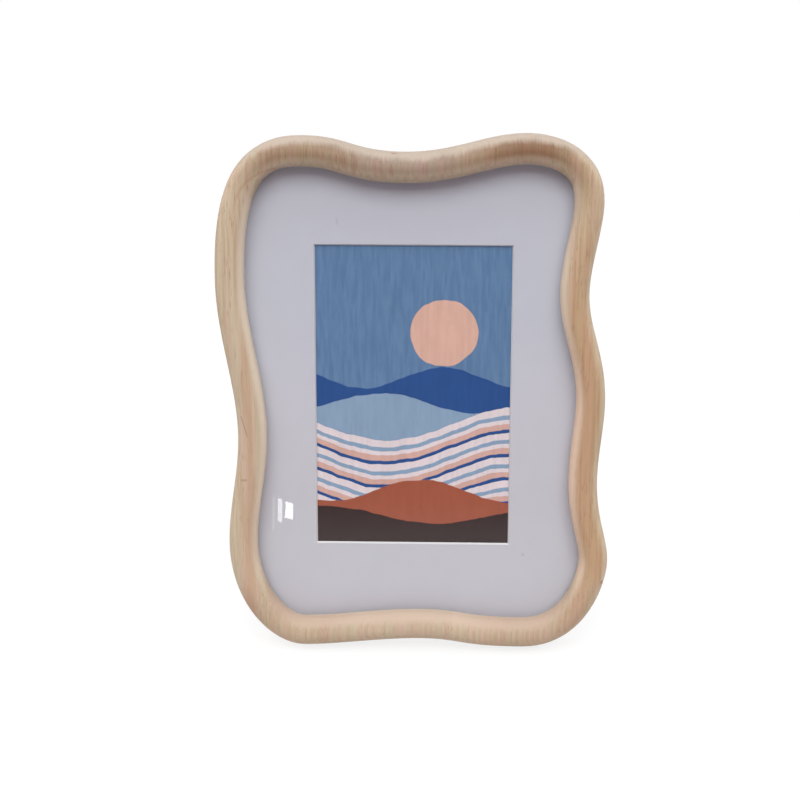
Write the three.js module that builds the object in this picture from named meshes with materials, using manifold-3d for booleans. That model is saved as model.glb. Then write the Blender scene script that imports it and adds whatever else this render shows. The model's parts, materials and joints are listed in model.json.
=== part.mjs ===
// A free-standing photo frame: a wavy wooden moulding with a half-round front, a glazed and matted print,
// a backing board held by turn buttons, an easel strut on a stamped hinge, and a ring to hang it on a wall.
// Millimetres, +Z up, front towards -Y. It stands on two low points of its bottom rail and leans on a strut.
import * as THREE from "three";
import { mergeVertices } from "three/addons/utils/BufferGeometryUtils.js";
import Module from "manifold-3d";

// Moulding
const FRAME_WIDTH = 180;
const FRAME_HEIGHT = 239;
const MOULDING_WIDTH = 13;
const FRONT_ROUND_DEPTH = 6.5;
const BACK_EDGE_RADIUS = 2;
const LIP_WIDTH = 4;
const LIP_WALL = 3.5;

// Layers behind the lip, from the glass to the backing board
const GLASS_THICKNESS = 2;
const MAT_THICKNESS = 1;
const PRINT_THICKNESS = 0.3;
const TAPE_THICKNESS = 0.2;
const BOARD_THICKNESS = 3;
const BOARD_RECESS = 0.3;
const REBATE_EDGE_GAP = 0.5;

// Mat window, print and the tape that hangs the print on the mat
const WINDOW_WIDTH = 89.2;
const WINDOW_HEIGHT = 140.2;
const WINDOW_SHIFT_X = -0.8;
const WINDOW_SHIFT_Z = -0.8;
const WINDOW_BEVEL = 0.6;
const PRINT_MARGIN = 6;
const TAPE_WIDTH = 18;
const TAPE_LENGTH = 24;
const TAPE_EDGE_INSET = 20.8;

// Turn buttons and their screws
const BUTTON_LENGTH = 14;
const BUTTON_PIVOT_RADIUS = 4.5;
const BUTTON_TIP_RADIUS = 3.5;
const BUTTON_THICKNESS = 1.2;
const SCREW_HEAD_RADIUS = 3;
const SCREW_HEAD_HEIGHT = 1.6;
const SCREW_CROWN_RADIUS = 2.4;
const SCREW_CROWN_RISE = 1.1;
const SCREW_SHANK_RADIUS = 1.2;
const SCREW_BITE = 8;
const SCREW_POINT = 2;

// Easel: how far the frame leans back and how far its strut opens from the board
const LEAN_DEGREES = 12;
const STRUT_OPENING_DEGREES = 30;
const STRUT_THICKNESS = 3;
const STRUT_TOP_WIDTH = 32;
const STRUT_FOOT_WIDTH = 56;
const STRUT_TOP_CORNER = 7;
const STRUT_FOOT_CORNER = 5;

// Strut hinge, stamped from sheet
const HINGE_RISE = 36;
const HINGE_SHEET = 0.8;
const KNUCKLE_RADIUS = 2;
const KNUCKLE_CLEARANCE = 0.4;
const PIN_RADIUS = 0.9;
const PIN_HEAD_RADIUS = 1.6;
const PIN_HEAD_LENGTH = 0.7;
const PLATE_WIDTH = 28;
const PLATE_HEIGHT = 20;
const LEAF_WIDTH = 19;
const LEAF_LENGTH = 26;
const TONGUE_WIDTH = 13;
const PLATE_RIVET_SPACING = 15;
const PLATE_RIVET_RISE = 12;
const LEAF_RIVET_SPACING = 10;
const LEAF_RIVET_DROP = 17;

// Rivets
const RIVET_HEAD_RADIUS = 2.2;
const RIVET_HEAD_HEIGHT = 1;
const RIVET_CROWN_RADIUS = 1.9;
const RIVET_CROWN_RISE = 0.6;
const RIVET_SHANK_RADIUS = 1.1;
const RIVET_BITE = 2;

// Hanger: a folded strap that holds a D-shaped ring of wire
const HANGER_DROP = 24;
const STRAP_WIDTH = 8;
const STRAP_LENGTH = 12;
const STRAP_SHEET = 0.8;
const STRAP_RIVET_DROP = 8;
const RING_WIRE_RADIUS = 0.8;
const RING_BEND_RADIUS = 8;
const RING_CORNER_RADIUS = 2;

// Clearances
const SEAT_GAP = 0.3;
const HOLE_GAP = 0.3;

// Facets
const OUTLINE_STEPS = 8;
const SECTION_STEPS = 4;
const ROUND_SIDES = 12;
const RING_STEPS = 6;
const WIRE_SIDES = 8;
const CORNER_STEPS = 4;
const OVERCUT = 1;
const WELD_DISTANCE = 1e-4;

const wasm = await Module();
wasm.setup();

const lean = THREE.MathUtils.degToRad(LEAN_DEGREES);
const strutOpening = THREE.MathUtils.degToRad(STRUT_OPENING_DEGREES);

// Sides of the frame's box, seen from the front, with the middle of the back plane at the origin
const LEFT = -FRAME_WIDTH / 2;
const RIGHT = FRAME_WIDTH / 2;
const TOP = FRAME_HEIGHT / 2;
const BOTTOM = -FRAME_HEIGHT / 2;

// Depths, from the back plane of the moulding (0) to its front crest
const boardBack = -BOARD_RECESS;
const boardFront = boardBack - BOARD_THICKNESS;
const tapeBack = boardFront - SEAT_GAP;
const tapeFront = tapeBack - TAPE_THICKNESS;
const printBack = tapeFront - SEAT_GAP;
const printFront = printBack - PRINT_THICKNESS;
const matBack = printFront - SEAT_GAP;
const matFront = matBack - MAT_THICKNESS;
const glassBack = matFront - SEAT_GAP;
const glassFront = glassBack - GLASS_THICKNESS;
const lipBack = glassFront - SEAT_GAP;
const shoulder = lipBack - LIP_WALL;

// Insets, from the outer edge of the moulding inwards
const rebateInset = MOULDING_WIDTH - LIP_WIDTH;
const layerInset = rebateInset + REBATE_EDGE_GAP;
const screwInset = (BACK_EDGE_RADIUS + rebateInset) / 2;

// Print and window
const printWidth = WINDOW_WIDTH + 2 * PRINT_MARGIN;
const printHeight = WINDOW_HEIGHT + 2 * PRINT_MARGIN;
const printTop = WINDOW_SHIFT_Z + printHeight / 2;

// Hinge and hanger
const plateFront = boardBack + SEAT_GAP;
const plateBack = plateFront + HINGE_SHEET;
const hingeDepth = plateBack + KNUCKLE_RADIUS + KNUCKLE_CLEARANCE;
const leafFront = PIN_RADIUS + HOLE_GAP + SEAT_GAP;
const leafBack = leafFront + HINGE_SHEET;
const strutBack = leafFront - SEAT_GAP;
const strutFront = strutBack - STRUT_THICKNESS;
const strapFront = boardBack + SEAT_GAP;
const strapBack = strapFront + STRAP_SHEET;
const loopRadius = RING_WIRE_RADIUS + HOLE_GAP + STRAP_SHEET;
const barDepth = strapFront + loopRadius;
const hanger = { x: 0, z: TOP - HANGER_DROP };

// Outer edge: its extreme points, clockwise seen from the front. The curve runs level or upright at each of
// them, for the given handle lengths before and after it.
const ALONG_TOP = new THREE.Vector2(1, 0);
const DOWN_RIGHT = new THREE.Vector2(0, -1);
const ALONG_BOTTOM = new THREE.Vector2(-1, 0);
const UP_LEFT = new THREE.Vector2(0, 1);

const topLeftCrest = { x: LEFT + 38.3, z: TOP - 1.4, heading: ALONG_TOP, before: 29.5, after: 22 };
const topDip = { x: -4.4, z: TOP - 8.5, heading: ALONG_TOP, before: 24.5, after: 23 };
const topRightCrest = { x: RIGHT - 40, z: TOP, heading: ALONG_TOP, before: 19, after: 9 };
const rightShoulder = { x: RIGHT - 6.2, z: TOP - 29.7, heading: DOWN_RIGHT, before: 26, after: 11.5 };
const rightUpperWaist = { x: RIGHT - 11.7, z: TOP - 70.4, heading: DOWN_RIGHT, before: 13, after: 16 };
const rightBelly = { x: RIGHT - 3.2, z: -1, heading: DOWN_RIGHT, before: 22, after: 11.5 };
const rightLowerWaist = { x: RIGHT - 5.8, z: BOTTOM + 81.7, heading: DOWN_RIGHT, before: 13, after: 18.5 };
const rightHip = { x: RIGHT, z: BOTTOM + 43, heading: DOWN_RIGHT, before: 10.5, after: 12.5 };
const rightFoot = { x: RIGHT - 39.4, z: BOTTOM, heading: ALONG_BOTTOM, before: 29.5, after: 31 };
const bottomDip = { x: 2.5, z: BOTTOM + 3.6, heading: ALONG_BOTTOM, before: 21, after: 17.5 };
const leftFoot = { x: LEFT + 38.5, z: BOTTOM, heading: ALONG_BOTTOM, before: 15.5, after: 16 };
const leftHip = { x: LEFT + 3.8, z: BOTTOM + 49.7, heading: UP_LEFT, before: 29.5, after: 18.5 };
const leftWaist = { x: LEFT + 8.9, z: -17.7, heading: UP_LEFT, before: 19, after: 23.5 };
const leftShoulder = { x: LEFT, z: TOP - 64.5, heading: UP_LEFT, before: 26.5, after: 39 };

const EXTREMES = [
  topLeftCrest,
  topDip,
  topRightCrest,
  rightShoulder,
  rightUpperWaist,
  rightBelly,
  rightLowerWaist,
  rightHip,
  rightFoot,
  bottomDip,
  leftFoot,
  leftHip,
  leftWaist,
  leftShoulder,
];

// Turn buttons sit on upright stretches of the two sides
const BUTTON_PLACES = {
  left_upper: leftShoulder,
  left_middle: leftWaist,
  left_lower: leftHip,
  right_upper: rightShoulder,
  right_middle: rightBelly,
  right_lower: rightHip,
};

// Materials
function finish(color, roughness, metalness = 0) {
  return new THREE.MeshStandardMaterial({ color, roughness, metalness });
}

const PALE_WOOD = finish("#dbb98c", 0.6);
const CLEAR_GLASS = new THREE.MeshStandardMaterial({ color: "#eef4f4", transparent: true, opacity: 0.2 });
const LAVENDER_MAT = finish("#bdb3c2", 0.95);
const PRINT_PAPER = finish("#6f90b4", 0.5);
const PAPER_TAPE = finish("#e9e0c8", 0.8);
const FIBREBOARD = finish("#8f6a45", 0.85);
const ZINC_STEEL = finish("#a9adb0", 0.35, 1);
const BRASSED_STEEL = finish("#b59a5b", 0.35, 1);

// Solids: joining and cutting
function solidOf(geometry) {
  const triangles = geometry.index ? geometry.toNonIndexed() : geometry;
  const bare = new THREE.BufferGeometry();
  bare.setAttribute("position", triangles.getAttribute("position"));
  const merged = mergeVertices(bare, WELD_DISTANCE);
  const vertProperties = merged.getAttribute("position").array;
  const triVerts = Uint32Array.from(merged.index.array);
  return new wasm.Manifold(new wasm.Mesh({ numProp: 3, vertProperties, triVerts }));
}

function geometryOf(solid) {
  const mesh = solid.getMesh();
  const geometry = new THREE.BufferGeometry();
  geometry.setAttribute("position", new THREE.BufferAttribute(mesh.vertProperties, 3));
  geometry.setIndex(new THREE.BufferAttribute(mesh.triVerts, 1));
  return geometry;
}

function joined(...geometries) {
  return geometryOf(geometries.map(solidOf).reduce((whole, piece) => whole.add(piece)));
}

function cut(geometry, ...cutters) {
  const solid = solidOf(geometry);
  return geometryOf(cutters.map(solidOf).reduce((whole, cutter) => whole.subtract(cutter), solid));
}

function common(first, second) {
  return geometryOf(solidOf(first).intersect(solidOf(second)));
}

// Basic forms

// A plate in the plane of the picture, between two depths.
function plate(shape, front, back) {
  const settings = { depth: back - front, bevelEnabled: false, curveSegments: CORNER_STEPS };
  const geometry = new THREE.ExtrudeGeometry(shape, settings);
  return geometry.rotateX(Math.PI / 2).translate(0, back, 0);
}

// A bar with a side profile of depth and height, between two places across the frame.
function crossbar(profile, left, right) {
  const settings = { depth: right - left, bevelEnabled: false, curveSegments: CORNER_STEPS };
  const geometry = new THREE.ExtrudeGeometry(profile, settings);
  const turn = new THREE.Matrix4().makeBasis(
    new THREE.Vector3(0, 1, 0),
    new THREE.Vector3(0, 0, 1),
    new THREE.Vector3(1, 0, 0),
  );
  return geometry.applyMatrix4(turn).translate(left, 0, 0);
}

function rectangle(left, bottom, right, top) {
  const shape = new THREE.Shape();
  shape.moveTo(left, bottom);
  shape.lineTo(right, bottom);
  shape.lineTo(right, top);
  shape.lineTo(left, top);
  shape.closePath();
  return shape;
}

// A polygon whose corners are rounded off, each by its own length.
function roundedPolygon(corners) {
  const shape = new THREE.Shape();
  corners.forEach(({ x, y, rounding }, index) => {
    const corner = new THREE.Vector2(x, y);
    const previous = corners[(index + corners.length - 1) % corners.length];
    const next = corners[(index + 1) % corners.length];
    const arrival = new THREE.Vector2(previous.x - x, previous.y - y).setLength(rounding).add(corner);
    const departure = new THREE.Vector2(next.x - x, next.y - y).setLength(rounding).add(corner);
    if (index === 0) {
      shape.moveTo(arrival.x, arrival.y);
    } else {
      shape.lineTo(arrival.x, arrival.y);
    }
    shape.quadraticCurveTo(x, y, departure.x, departure.y);
  });
  shape.closePath();
  return shape;
}

function disc(radius, centreX = 0, centreY = 0) {
  return new THREE.Shape().absarc(centreX, centreY, radius, 0, 2 * Math.PI);
}

// A round hole through the layers at one place, to be cut away.
function drilling(radius, place, front, back) {
  const geometry = new THREE.CylinderGeometry(radius, radius, back - front, ROUND_SIDES);
  return geometry.translate(place.x, (front + back) / 2, place.z);
}

// A turned piece along the depth, from its front end on the axis to its back end on the axis.
function turned(profile, place) {
  const points = profile.map(([radius, depth]) => new THREE.Vector2(radius, depth));
  return new THREE.LatheGeometry(points, ROUND_SIDES).translate(place.x, 0, place.z);
}

// Points along closed clockwise curves, with the direction that leads inwards.
function stationsAlong(curves, steps) {
  return curves.flatMap((curve) =>
    Array.from({ length: steps }, (_, step) => {
      const point = curve.getPoint(step / steps);
      const heading = curve.getTangent(step / steps);
      return { x: point.x, z: point.y, inwardX: heading.y, inwardZ: -heading.x };
    }),
  );
}

// A ring: one section of inset and depth, carried round the stations.
function sweptRing(stations, section) {
  const positions = stations.flatMap(({ x, z, inwardX, inwardZ }) =>
    section.flatMap(([inset, depth]) => [x + inwardX * inset, depth, z + inwardZ * inset]),
  );
  const indices = [];
  stations.forEach((_, i) => {
    const here = i * section.length;
    const there = ((i + 1) % stations.length) * section.length;
    section.forEach((__, j) => {
      const next = (j + 1) % section.length;
      indices.push(here + j, there + j, there + next);
      indices.push(here + j, there + next, here + next);
    });
  });
  const geometry = new THREE.BufferGeometry();
  geometry.setAttribute("position", new THREE.Float32BufferAttribute(positions, 3));
  geometry.setIndex(indices);
  return geometry;
}

// Outer edge of the moulding
function outlineCurves() {
  return EXTREMES.map((from, index) => {
    const to = EXTREMES[(index + 1) % EXTREMES.length];
    const start = new THREE.Vector2(from.x, from.z);
    const end = new THREE.Vector2(to.x, to.z);
    const leaving = start.clone().addScaledVector(from.heading, from.after);
    const arriving = end.clone().addScaledVector(to.heading, -to.before);
    return new THREE.CubicBezierCurve(start, leaving, arriving, end);
  });
}

const outline = stationsAlong(outlineCurves(), OUTLINE_STEPS);

function insetShape(inset) {
  const points = outline.map((at) => new THREE.Vector2(at.x + at.inwardX * inset, at.z + at.inwardZ * inset));
  return new THREE.Shape(points);
}

// Half-round front, straight outer side, rounded back edge, and a rebate behind the lip.
function mouldingSection() {
  const halfWidth = MOULDING_WIDTH / 2;
  const shape = new THREE.Shape();
  shape.moveTo(rebateInset, 0);
  shape.lineTo(rebateInset, lipBack);
  shape.lineTo(MOULDING_WIDTH, lipBack);
  shape.lineTo(MOULDING_WIDTH, shoulder);
  shape.absellipse(halfWidth, shoulder, halfWidth, FRONT_ROUND_DEPTH, 0, -Math.PI, true);
  shape.lineTo(0, -BACK_EDGE_RADIUS);
  shape.quadraticCurveTo(0, 0, BACK_EDGE_RADIUS, 0);
  const points = shape.getPoints(SECTION_STEPS);
  return points.map((point) => [point.x, point.y]);
}

const section = mouldingSection();

// Height of the table below the frame's centre, along the upright of the room
const tableLevel = Math.min(
  ...section.map(([inset, depth]) => (BOTTOM + inset) * Math.cos(lean) - depth * Math.sin(lean)),
);

function screwPlace(at) {
  const inwardX = at.heading.y;
  return { x: at.x + inwardX * screwInset, z: at.z, inwardX };
}

function frameMoulding() {
  const radius = SCREW_SHANK_RADIUS + HOLE_GAP;
  const deepest = -SCREW_BITE - HOLE_GAP;
  const holes = Object.values(BUTTON_PLACES).map((at) => drilling(radius, screwPlace(at), deepest, OVERCUT));
  return cut(sweptRing(outline, section), ...holes);
}

function glassPane() {
  return plate(insetShape(layerInset), glassFront, glassBack);
}

// The window is cut on a slant, wider at the front.
function windowCutter() {
  const geometry = new THREE.BoxGeometry(WINDOW_WIDTH, MAT_THICKNESS + 2 * OVERCUT, WINDOW_HEIGHT);
  geometry.translate(0, (matFront + matBack) / 2, 0);
  const positions = geometry.getAttribute("position");
  for (let i = 0; i < positions.count; i += 1) {
    const slant = ((matBack - positions.getY(i)) * WINDOW_BEVEL) / MAT_THICKNESS;
    positions.setX(i, positions.getX(i) + Math.sign(positions.getX(i)) * slant);
    positions.setZ(i, positions.getZ(i) + Math.sign(positions.getZ(i)) * slant);
  }
  return geometry.translate(WINDOW_SHIFT_X, 0, WINDOW_SHIFT_Z);
}

function matBoard() {
  return cut(plate(insetShape(layerInset), matFront, matBack), windowCutter());
}

function photoPrint() {
  const left = WINDOW_SHIFT_X - printWidth / 2;
  return plate(rectangle(left, printTop - printHeight, left + printWidth, printTop), printFront, printBack);
}

// A strip half on the back of the print and half on the mat above it.
function printTape(side) {
  const centre = WINDOW_SHIFT_X + side * (printWidth / 2 - TAPE_EDGE_INSET);
  const left = centre - TAPE_WIDTH / 2;
  const bottom = printTop - TAPE_LENGTH / 2;
  return plate(rectangle(left, bottom, left + TAPE_WIDTH, bottom + TAPE_LENGTH), tapeFront, tapeBack);
}

// Rivets: the hinge plate's are level on the board, the leaf's are measured from the hinge pin.
function pairOf(spacing, z) {
  return { left: { x: -spacing / 2, z }, right: { x: spacing / 2, z } };
}

const plateRivets = pairOf(PLATE_RIVET_SPACING, HINGE_RISE + PLATE_RIVET_RISE);
const leafRivets = pairOf(LEAF_RIVET_SPACING, -LEAF_RIVET_DROP);
const strapRivet = { x: hanger.x, z: hanger.z - STRAP_RIVET_DROP };

function rivetHole(place, front, back) {
  return drilling(RIVET_SHANK_RADIUS + HOLE_GAP, place, front, back);
}

function rivet(place, seat, bottom) {
  const profile = [
    [0, bottom],
    [RIVET_SHANK_RADIUS, bottom],
    [RIVET_SHANK_RADIUS, seat],
    [RIVET_HEAD_RADIUS, seat],
    [RIVET_CROWN_RADIUS, seat + RIVET_CROWN_RISE],
    [0, seat + RIVET_HEAD_HEIGHT],
  ];
  return turned(profile, place);
}

function backBoard() {
  const rivets = [plateRivets.left, plateRivets.right, strapRivet];
  const deepest = boardBack - RIVET_BITE - HOLE_GAP;
  const holes = rivets.map((place) => rivetHole(place, deepest, boardBack + OVERCUT));
  return cut(plate(insetShape(layerInset), boardFront, boardBack), ...holes);
}

// Turn buttons: a wide end on the screw and a narrower tip that reaches over the board
const buttonFront = SEAT_GAP;
const buttonBack = buttonFront + BUTTON_THICKNESS;

function turnButton() {
  const flare = Math.acos((BUTTON_PIVOT_RADIUS - BUTTON_TIP_RADIUS) / BUTTON_LENGTH);
  const shape = new THREE.Shape();
  shape.absarc(0, 0, BUTTON_PIVOT_RADIUS, flare, 2 * Math.PI - flare);
  shape.absarc(BUTTON_LENGTH, 0, BUTTON_TIP_RADIUS, -flare, flare);
  const hole = drilling(SCREW_SHANK_RADIUS + HOLE_GAP, { x: 0, z: 0 }, -OVERCUT, buttonBack + OVERCUT);
  return cut(plate(shape, buttonFront, buttonBack), hole);
}

function turnButtonScrew() {
  const seat = buttonBack + SEAT_GAP;
  const profile = [
    [0, -SCREW_BITE],
    [SCREW_SHANK_RADIUS, SCREW_POINT - SCREW_BITE],
    [SCREW_SHANK_RADIUS, seat],
    [SCREW_HEAD_RADIUS, seat],
    [SCREW_CROWN_RADIUS, seat + SCREW_CROWN_RISE],
    [0, seat + SCREW_HEAD_HEIGHT],
  ];
  return turned(profile, { x: 0, z: 0 });
}

// Hinge: depths and heights from here on are measured from the pin
const plateFrontFromPin = plateFront - hingeDepth;
const plateBackFromPin = plateBack - hingeDepth;
const innerEar = LEAF_WIDTH / 2;
const outerEar = innerEar + SEAT_GAP + HINGE_SHEET;
const plateLowerEdge = -KNUCKLE_RADIUS;
const strutTop = plateLowerEdge - KNUCKLE_RADIUS - SEAT_GAP;

function earProfile(base) {
  const towardsBase = Math.sign(base);
  const shape = new THREE.Shape();
  shape.moveTo(base, -towardsBase * KNUCKLE_RADIUS);
  shape.lineTo(base, towardsBase * KNUCKLE_RADIUS);
  shape.lineTo(0, towardsBase * KNUCKLE_RADIUS);
  const start = (towardsBase * Math.PI) / 2;
  shape.absarc(0, 0, KNUCKLE_RADIUS, start, start + Math.PI);
  shape.closePath();
  return shape;
}

function pairOfEars(base, outerFace) {
  const profile = earProfile(base);
  return [
    crossbar(profile, -outerFace, HINGE_SHEET - outerFace),
    crossbar(profile, outerFace - HINGE_SHEET, outerFace),
  ];
}

function pinHole() {
  const reach = outerEar + OVERCUT;
  return crossbar(disc(PIN_RADIUS + HOLE_GAP), -reach, reach);
}

function hingePlate() {
  const upperEdge = plateLowerEdge + PLATE_HEIGHT;
  const outlineOfPlate = rectangle(-PLATE_WIDTH / 2, plateLowerEdge, PLATE_WIDTH / 2, upperEdge);
  const body = plate(outlineOfPlate, plateFrontFromPin, plateBackFromPin);
  const holes = Object.values(pairOf(PLATE_RIVET_SPACING, PLATE_RIVET_RISE)).map((place) =>
    rivetHole(place, plateFrontFromPin - OVERCUT, plateBackFromPin + OVERCUT),
  );
  return cut(joined(body, ...pairOfEars(plateFrontFromPin, outerEar)), pinHole(), ...holes);
}

function hingePin() {
  const bearing = outerEar + SEAT_GAP;
  const end = bearing + PIN_HEAD_LENGTH;
  const profile = [
    [0, -end],
    [PIN_HEAD_RADIUS, -end],
    [PIN_HEAD_RADIUS, -bearing],
    [PIN_RADIUS, -bearing],
    [PIN_RADIUS, bearing],
    [PIN_HEAD_RADIUS, bearing],
    [PIN_HEAD_RADIUS, end],
    [0, end],
  ];
  return turned(profile, { x: 0, z: 0 }).rotateZ(Math.PI / 2);
}

// The tongue above the pin meets the plate when the strut is fully open.
function tongueReach() {
  const room = -plateBackFromPin - SEAT_GAP + leafFront * Math.cos(strutOpening);
  return room / Math.sin(strutOpening);
}

function hingeLeaf() {
  const body = plate(
    rectangle(-LEAF_WIDTH / 2, -LEAF_LENGTH, LEAF_WIDTH / 2, KNUCKLE_RADIUS),
    leafFront,
    leafBack,
  );
  const tongue = plate(rectangle(-TONGUE_WIDTH / 2, 0, TONGUE_WIDTH / 2, tongueReach()), leafFront, leafBack);
  const holes = Object.values(leafRivets).map((place) =>
    rivetHole(place, leafFront - OVERCUT, leafBack + OVERCUT),
  );
  return cut(joined(body, tongue, ...pairOfEars(leafBack, innerEar)), pinHole(), ...holes);
}

// Distance along the strut from the pin to the table, for a face of the strut at the given depth.
function strutLengthAt(depth) {
  const pinHeight = HINGE_RISE * Math.cos(lean) - hingeDepth * Math.sin(lean) - tableLevel;
  const splay = strutOpening - lean;
  return (pinHeight + depth * Math.sin(splay)) / Math.cos(splay);
}

function strutPlan() {
  const longest = strutLengthAt(strutBack) + OVERCUT;
  return roundedPolygon([
    { x: -STRUT_TOP_WIDTH / 2, y: strutTop, rounding: STRUT_TOP_CORNER },
    { x: -STRUT_FOOT_WIDTH / 2, y: -longest, rounding: STRUT_FOOT_CORNER },
    { x: STRUT_FOOT_WIDTH / 2, y: -longest, rounding: STRUT_FOOT_CORNER },
    { x: STRUT_TOP_WIDTH / 2, y: strutTop, rounding: STRUT_TOP_CORNER },
  ]);
}

// Side view, with the foot cut to lie flat on the table.
function strutProfile() {
  const shape = new THREE.Shape();
  shape.moveTo(strutFront, strutTop + OVERCUT);
  shape.lineTo(strutFront, -strutLengthAt(strutFront));
  shape.lineTo(strutBack, -strutLengthAt(strutBack));
  shape.lineTo(strutBack, strutTop + OVERCUT);
  shape.closePath();
  return shape;
}

function strut() {
  const board = plate(strutPlan(), strutFront, strutBack);
  const sides = crossbar(strutProfile(), -STRUT_FOOT_WIDTH, STRUT_FOOT_WIDTH);
  const deepest = strutBack - RIVET_BITE - HOLE_GAP;
  const holes = Object.values(leafRivets).map((place) => rivetHole(place, deepest, strutBack + OVERCUT));
  return cut(common(board, sides), ...holes);
}

// Hanger
function hangerStrap() {
  const left = hanger.x - STRAP_WIDTH / 2;
  const right = left + STRAP_WIDTH;
  const flat = crossbar(rectangle(strapFront, hanger.z - STRAP_LENGTH, strapBack, hanger.z), left, right);
  const loop = crossbar(disc(loopRadius, barDepth, hanger.z), left, right);
  const bore = disc(RING_WIRE_RADIUS + HOLE_GAP, barDepth, hanger.z);
  const eye = crossbar(bore, left - OVERCUT, right + OVERCUT);
  return cut(joined(flat, loop), eye, rivetHole(strapRivet, strapFront - OVERCUT, strapBack + OVERCUT));
}

// A straight bar through the strap, two corners and a half-round bend, hanging below the bar's axis.
function hangerRing() {
  const halfBar = RING_BEND_RADIUS - RING_CORNER_RADIUS;
  const top = RING_WIRE_RADIUS;
  const bendCentre = top - RING_CORNER_RADIUS;
  const quarterTurn = Math.PI / 2;
  const corner = RING_CORNER_RADIUS;
  const curves = [
    new THREE.LineCurve(new THREE.Vector2(-halfBar, top), new THREE.Vector2(halfBar, top)),
    new THREE.EllipseCurve(halfBar, bendCentre, corner, corner, quarterTurn, 0, true),
    new THREE.EllipseCurve(0, bendCentre, RING_BEND_RADIUS, RING_BEND_RADIUS, 0, -Math.PI, true),
    new THREE.EllipseCurve(-halfBar, bendCentre, corner, corner, Math.PI, quarterTurn, true),
  ];
  const wire = Array.from({ length: WIRE_SIDES }, (_, side) => {
    const angle = (2 * Math.PI * side) / WIRE_SIDES;
    return [RING_WIRE_RADIUS * (1 - Math.cos(angle)), RING_WIRE_RADIUS * Math.sin(angle)];
  });
  return sweptRing(stationsAlong(curves, RING_STEPS), wire);
}

// Assembly
function piece(name, geometry, material) {
  const mesh = new THREE.Mesh(geometry, material);
  mesh.name = name;
  return mesh;
}

function groupAt(x, y, z, ...pieces) {
  const group = new THREE.Group();
  group.position.set(x, y, z);
  group.add(...pieces);
  return group;
}

function picture() {
  return [
    piece("frame_moulding", frameMoulding(), PALE_WOOD),
    piece("glass_pane", glassPane(), CLEAR_GLASS),
    piece("mat_board", matBoard(), LAVENDER_MAT),
    piece("photo_print", photoPrint(), PRINT_PAPER),
    piece("print_tape_left", printTape(-1), PAPER_TAPE),
    piece("print_tape_right", printTape(1), PAPER_TAPE),
    piece("back_board", backBoard(), FIBREBOARD),
  ];
}

function turnButtons() {
  return Object.entries(BUTTON_PLACES).map(([place, at]) => {
    const { x, z, inwardX } = screwPlace(at);
    const button = piece(`turn_button_${place}`, turnButton(), ZINC_STEEL);
    button.rotation.y = inwardX > 0 ? 0 : Math.PI;
    const screw = piece(`turn_button_screw_${place}`, turnButtonScrew(), BRASSED_STEEL);
    return groupAt(x, 0, z, button, screw);
  });
}

function hinge() {
  const seat = plateBack + SEAT_GAP;
  const bottom = boardBack - RIVET_BITE;
  const rivets = Object.entries(plateRivets).map(([side, place]) =>
    piece(`hinge_plate_rivet_${side}`, rivet(place, seat, bottom), BRASSED_STEEL),
  );
  const plateAndPin = groupAt(
    0,
    hingeDepth,
    HINGE_RISE,
    piece("hinge_plate", hingePlate(), ZINC_STEEL),
    piece("hinge_pin", hingePin(), BRASSED_STEEL),
  );
  return [plateAndPin, ...rivets];
}

function openStrut() {
  const seat = leafBack + SEAT_GAP;
  const bottom = strutBack - RIVET_BITE;
  const rivets = Object.entries(leafRivets).map(([side, place]) =>
    piece(`hinge_leaf_rivet_${side}`, rivet(place, seat, bottom), BRASSED_STEEL),
  );
  const group = groupAt(
    0,
    hingeDepth,
    HINGE_RISE,
    piece("easel_strut", strut(), FIBREBOARD),
    piece("hinge_leaf", hingeLeaf(), ZINC_STEEL),
    ...rivets,
  );
  group.rotation.x = strutOpening;
  return group;
}

// The ring hangs plumb while the frame leans.
function hangerPieces() {
  const ring = groupAt(hanger.x, barDepth, hanger.z, piece("hanger_ring", hangerRing(), BRASSED_STEEL));
  ring.rotation.x = lean;
  return [
    piece("hanger_strap", hangerStrap(), BRASSED_STEEL),
    piece("hanger_rivet", rivet(strapRivet, strapBack + SEAT_GAP, boardBack - RIVET_BITE), BRASSED_STEEL),
    ring,
  ];
}

function photoFrame() {
  const leaning = new THREE.Group();
  leaning.add(...picture(), ...turnButtons(), ...hinge(), openStrut(), ...hangerPieces());
  leaning.rotation.x = -lean;
  const standing = new THREE.Group();
  standing.add(leaning);
  standing.updateMatrixWorld(true);
  const box = new THREE.Box3().setFromObject(standing, true);
  const centre = box.getCenter(new THREE.Vector3());
  leaning.position.set(-centre.x, -centre.y, -box.min.z);
  return standing;
}

export default photoFrame();
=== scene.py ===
"""Looks of a free-standing photo frame with a wavy half-round wooden moulding.

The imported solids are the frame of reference. Pieces are modelled on flat seats and
then set in place, and every finish is a node material in millimetres on its seat.
"""

import json
import logging
import math
from contextlib import contextmanager
from dataclasses import dataclass
from enum import Enum
from typing import Callable, Iterator, Union

import bmesh
import bpy
from mathutils import Matrix, Vector


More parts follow.
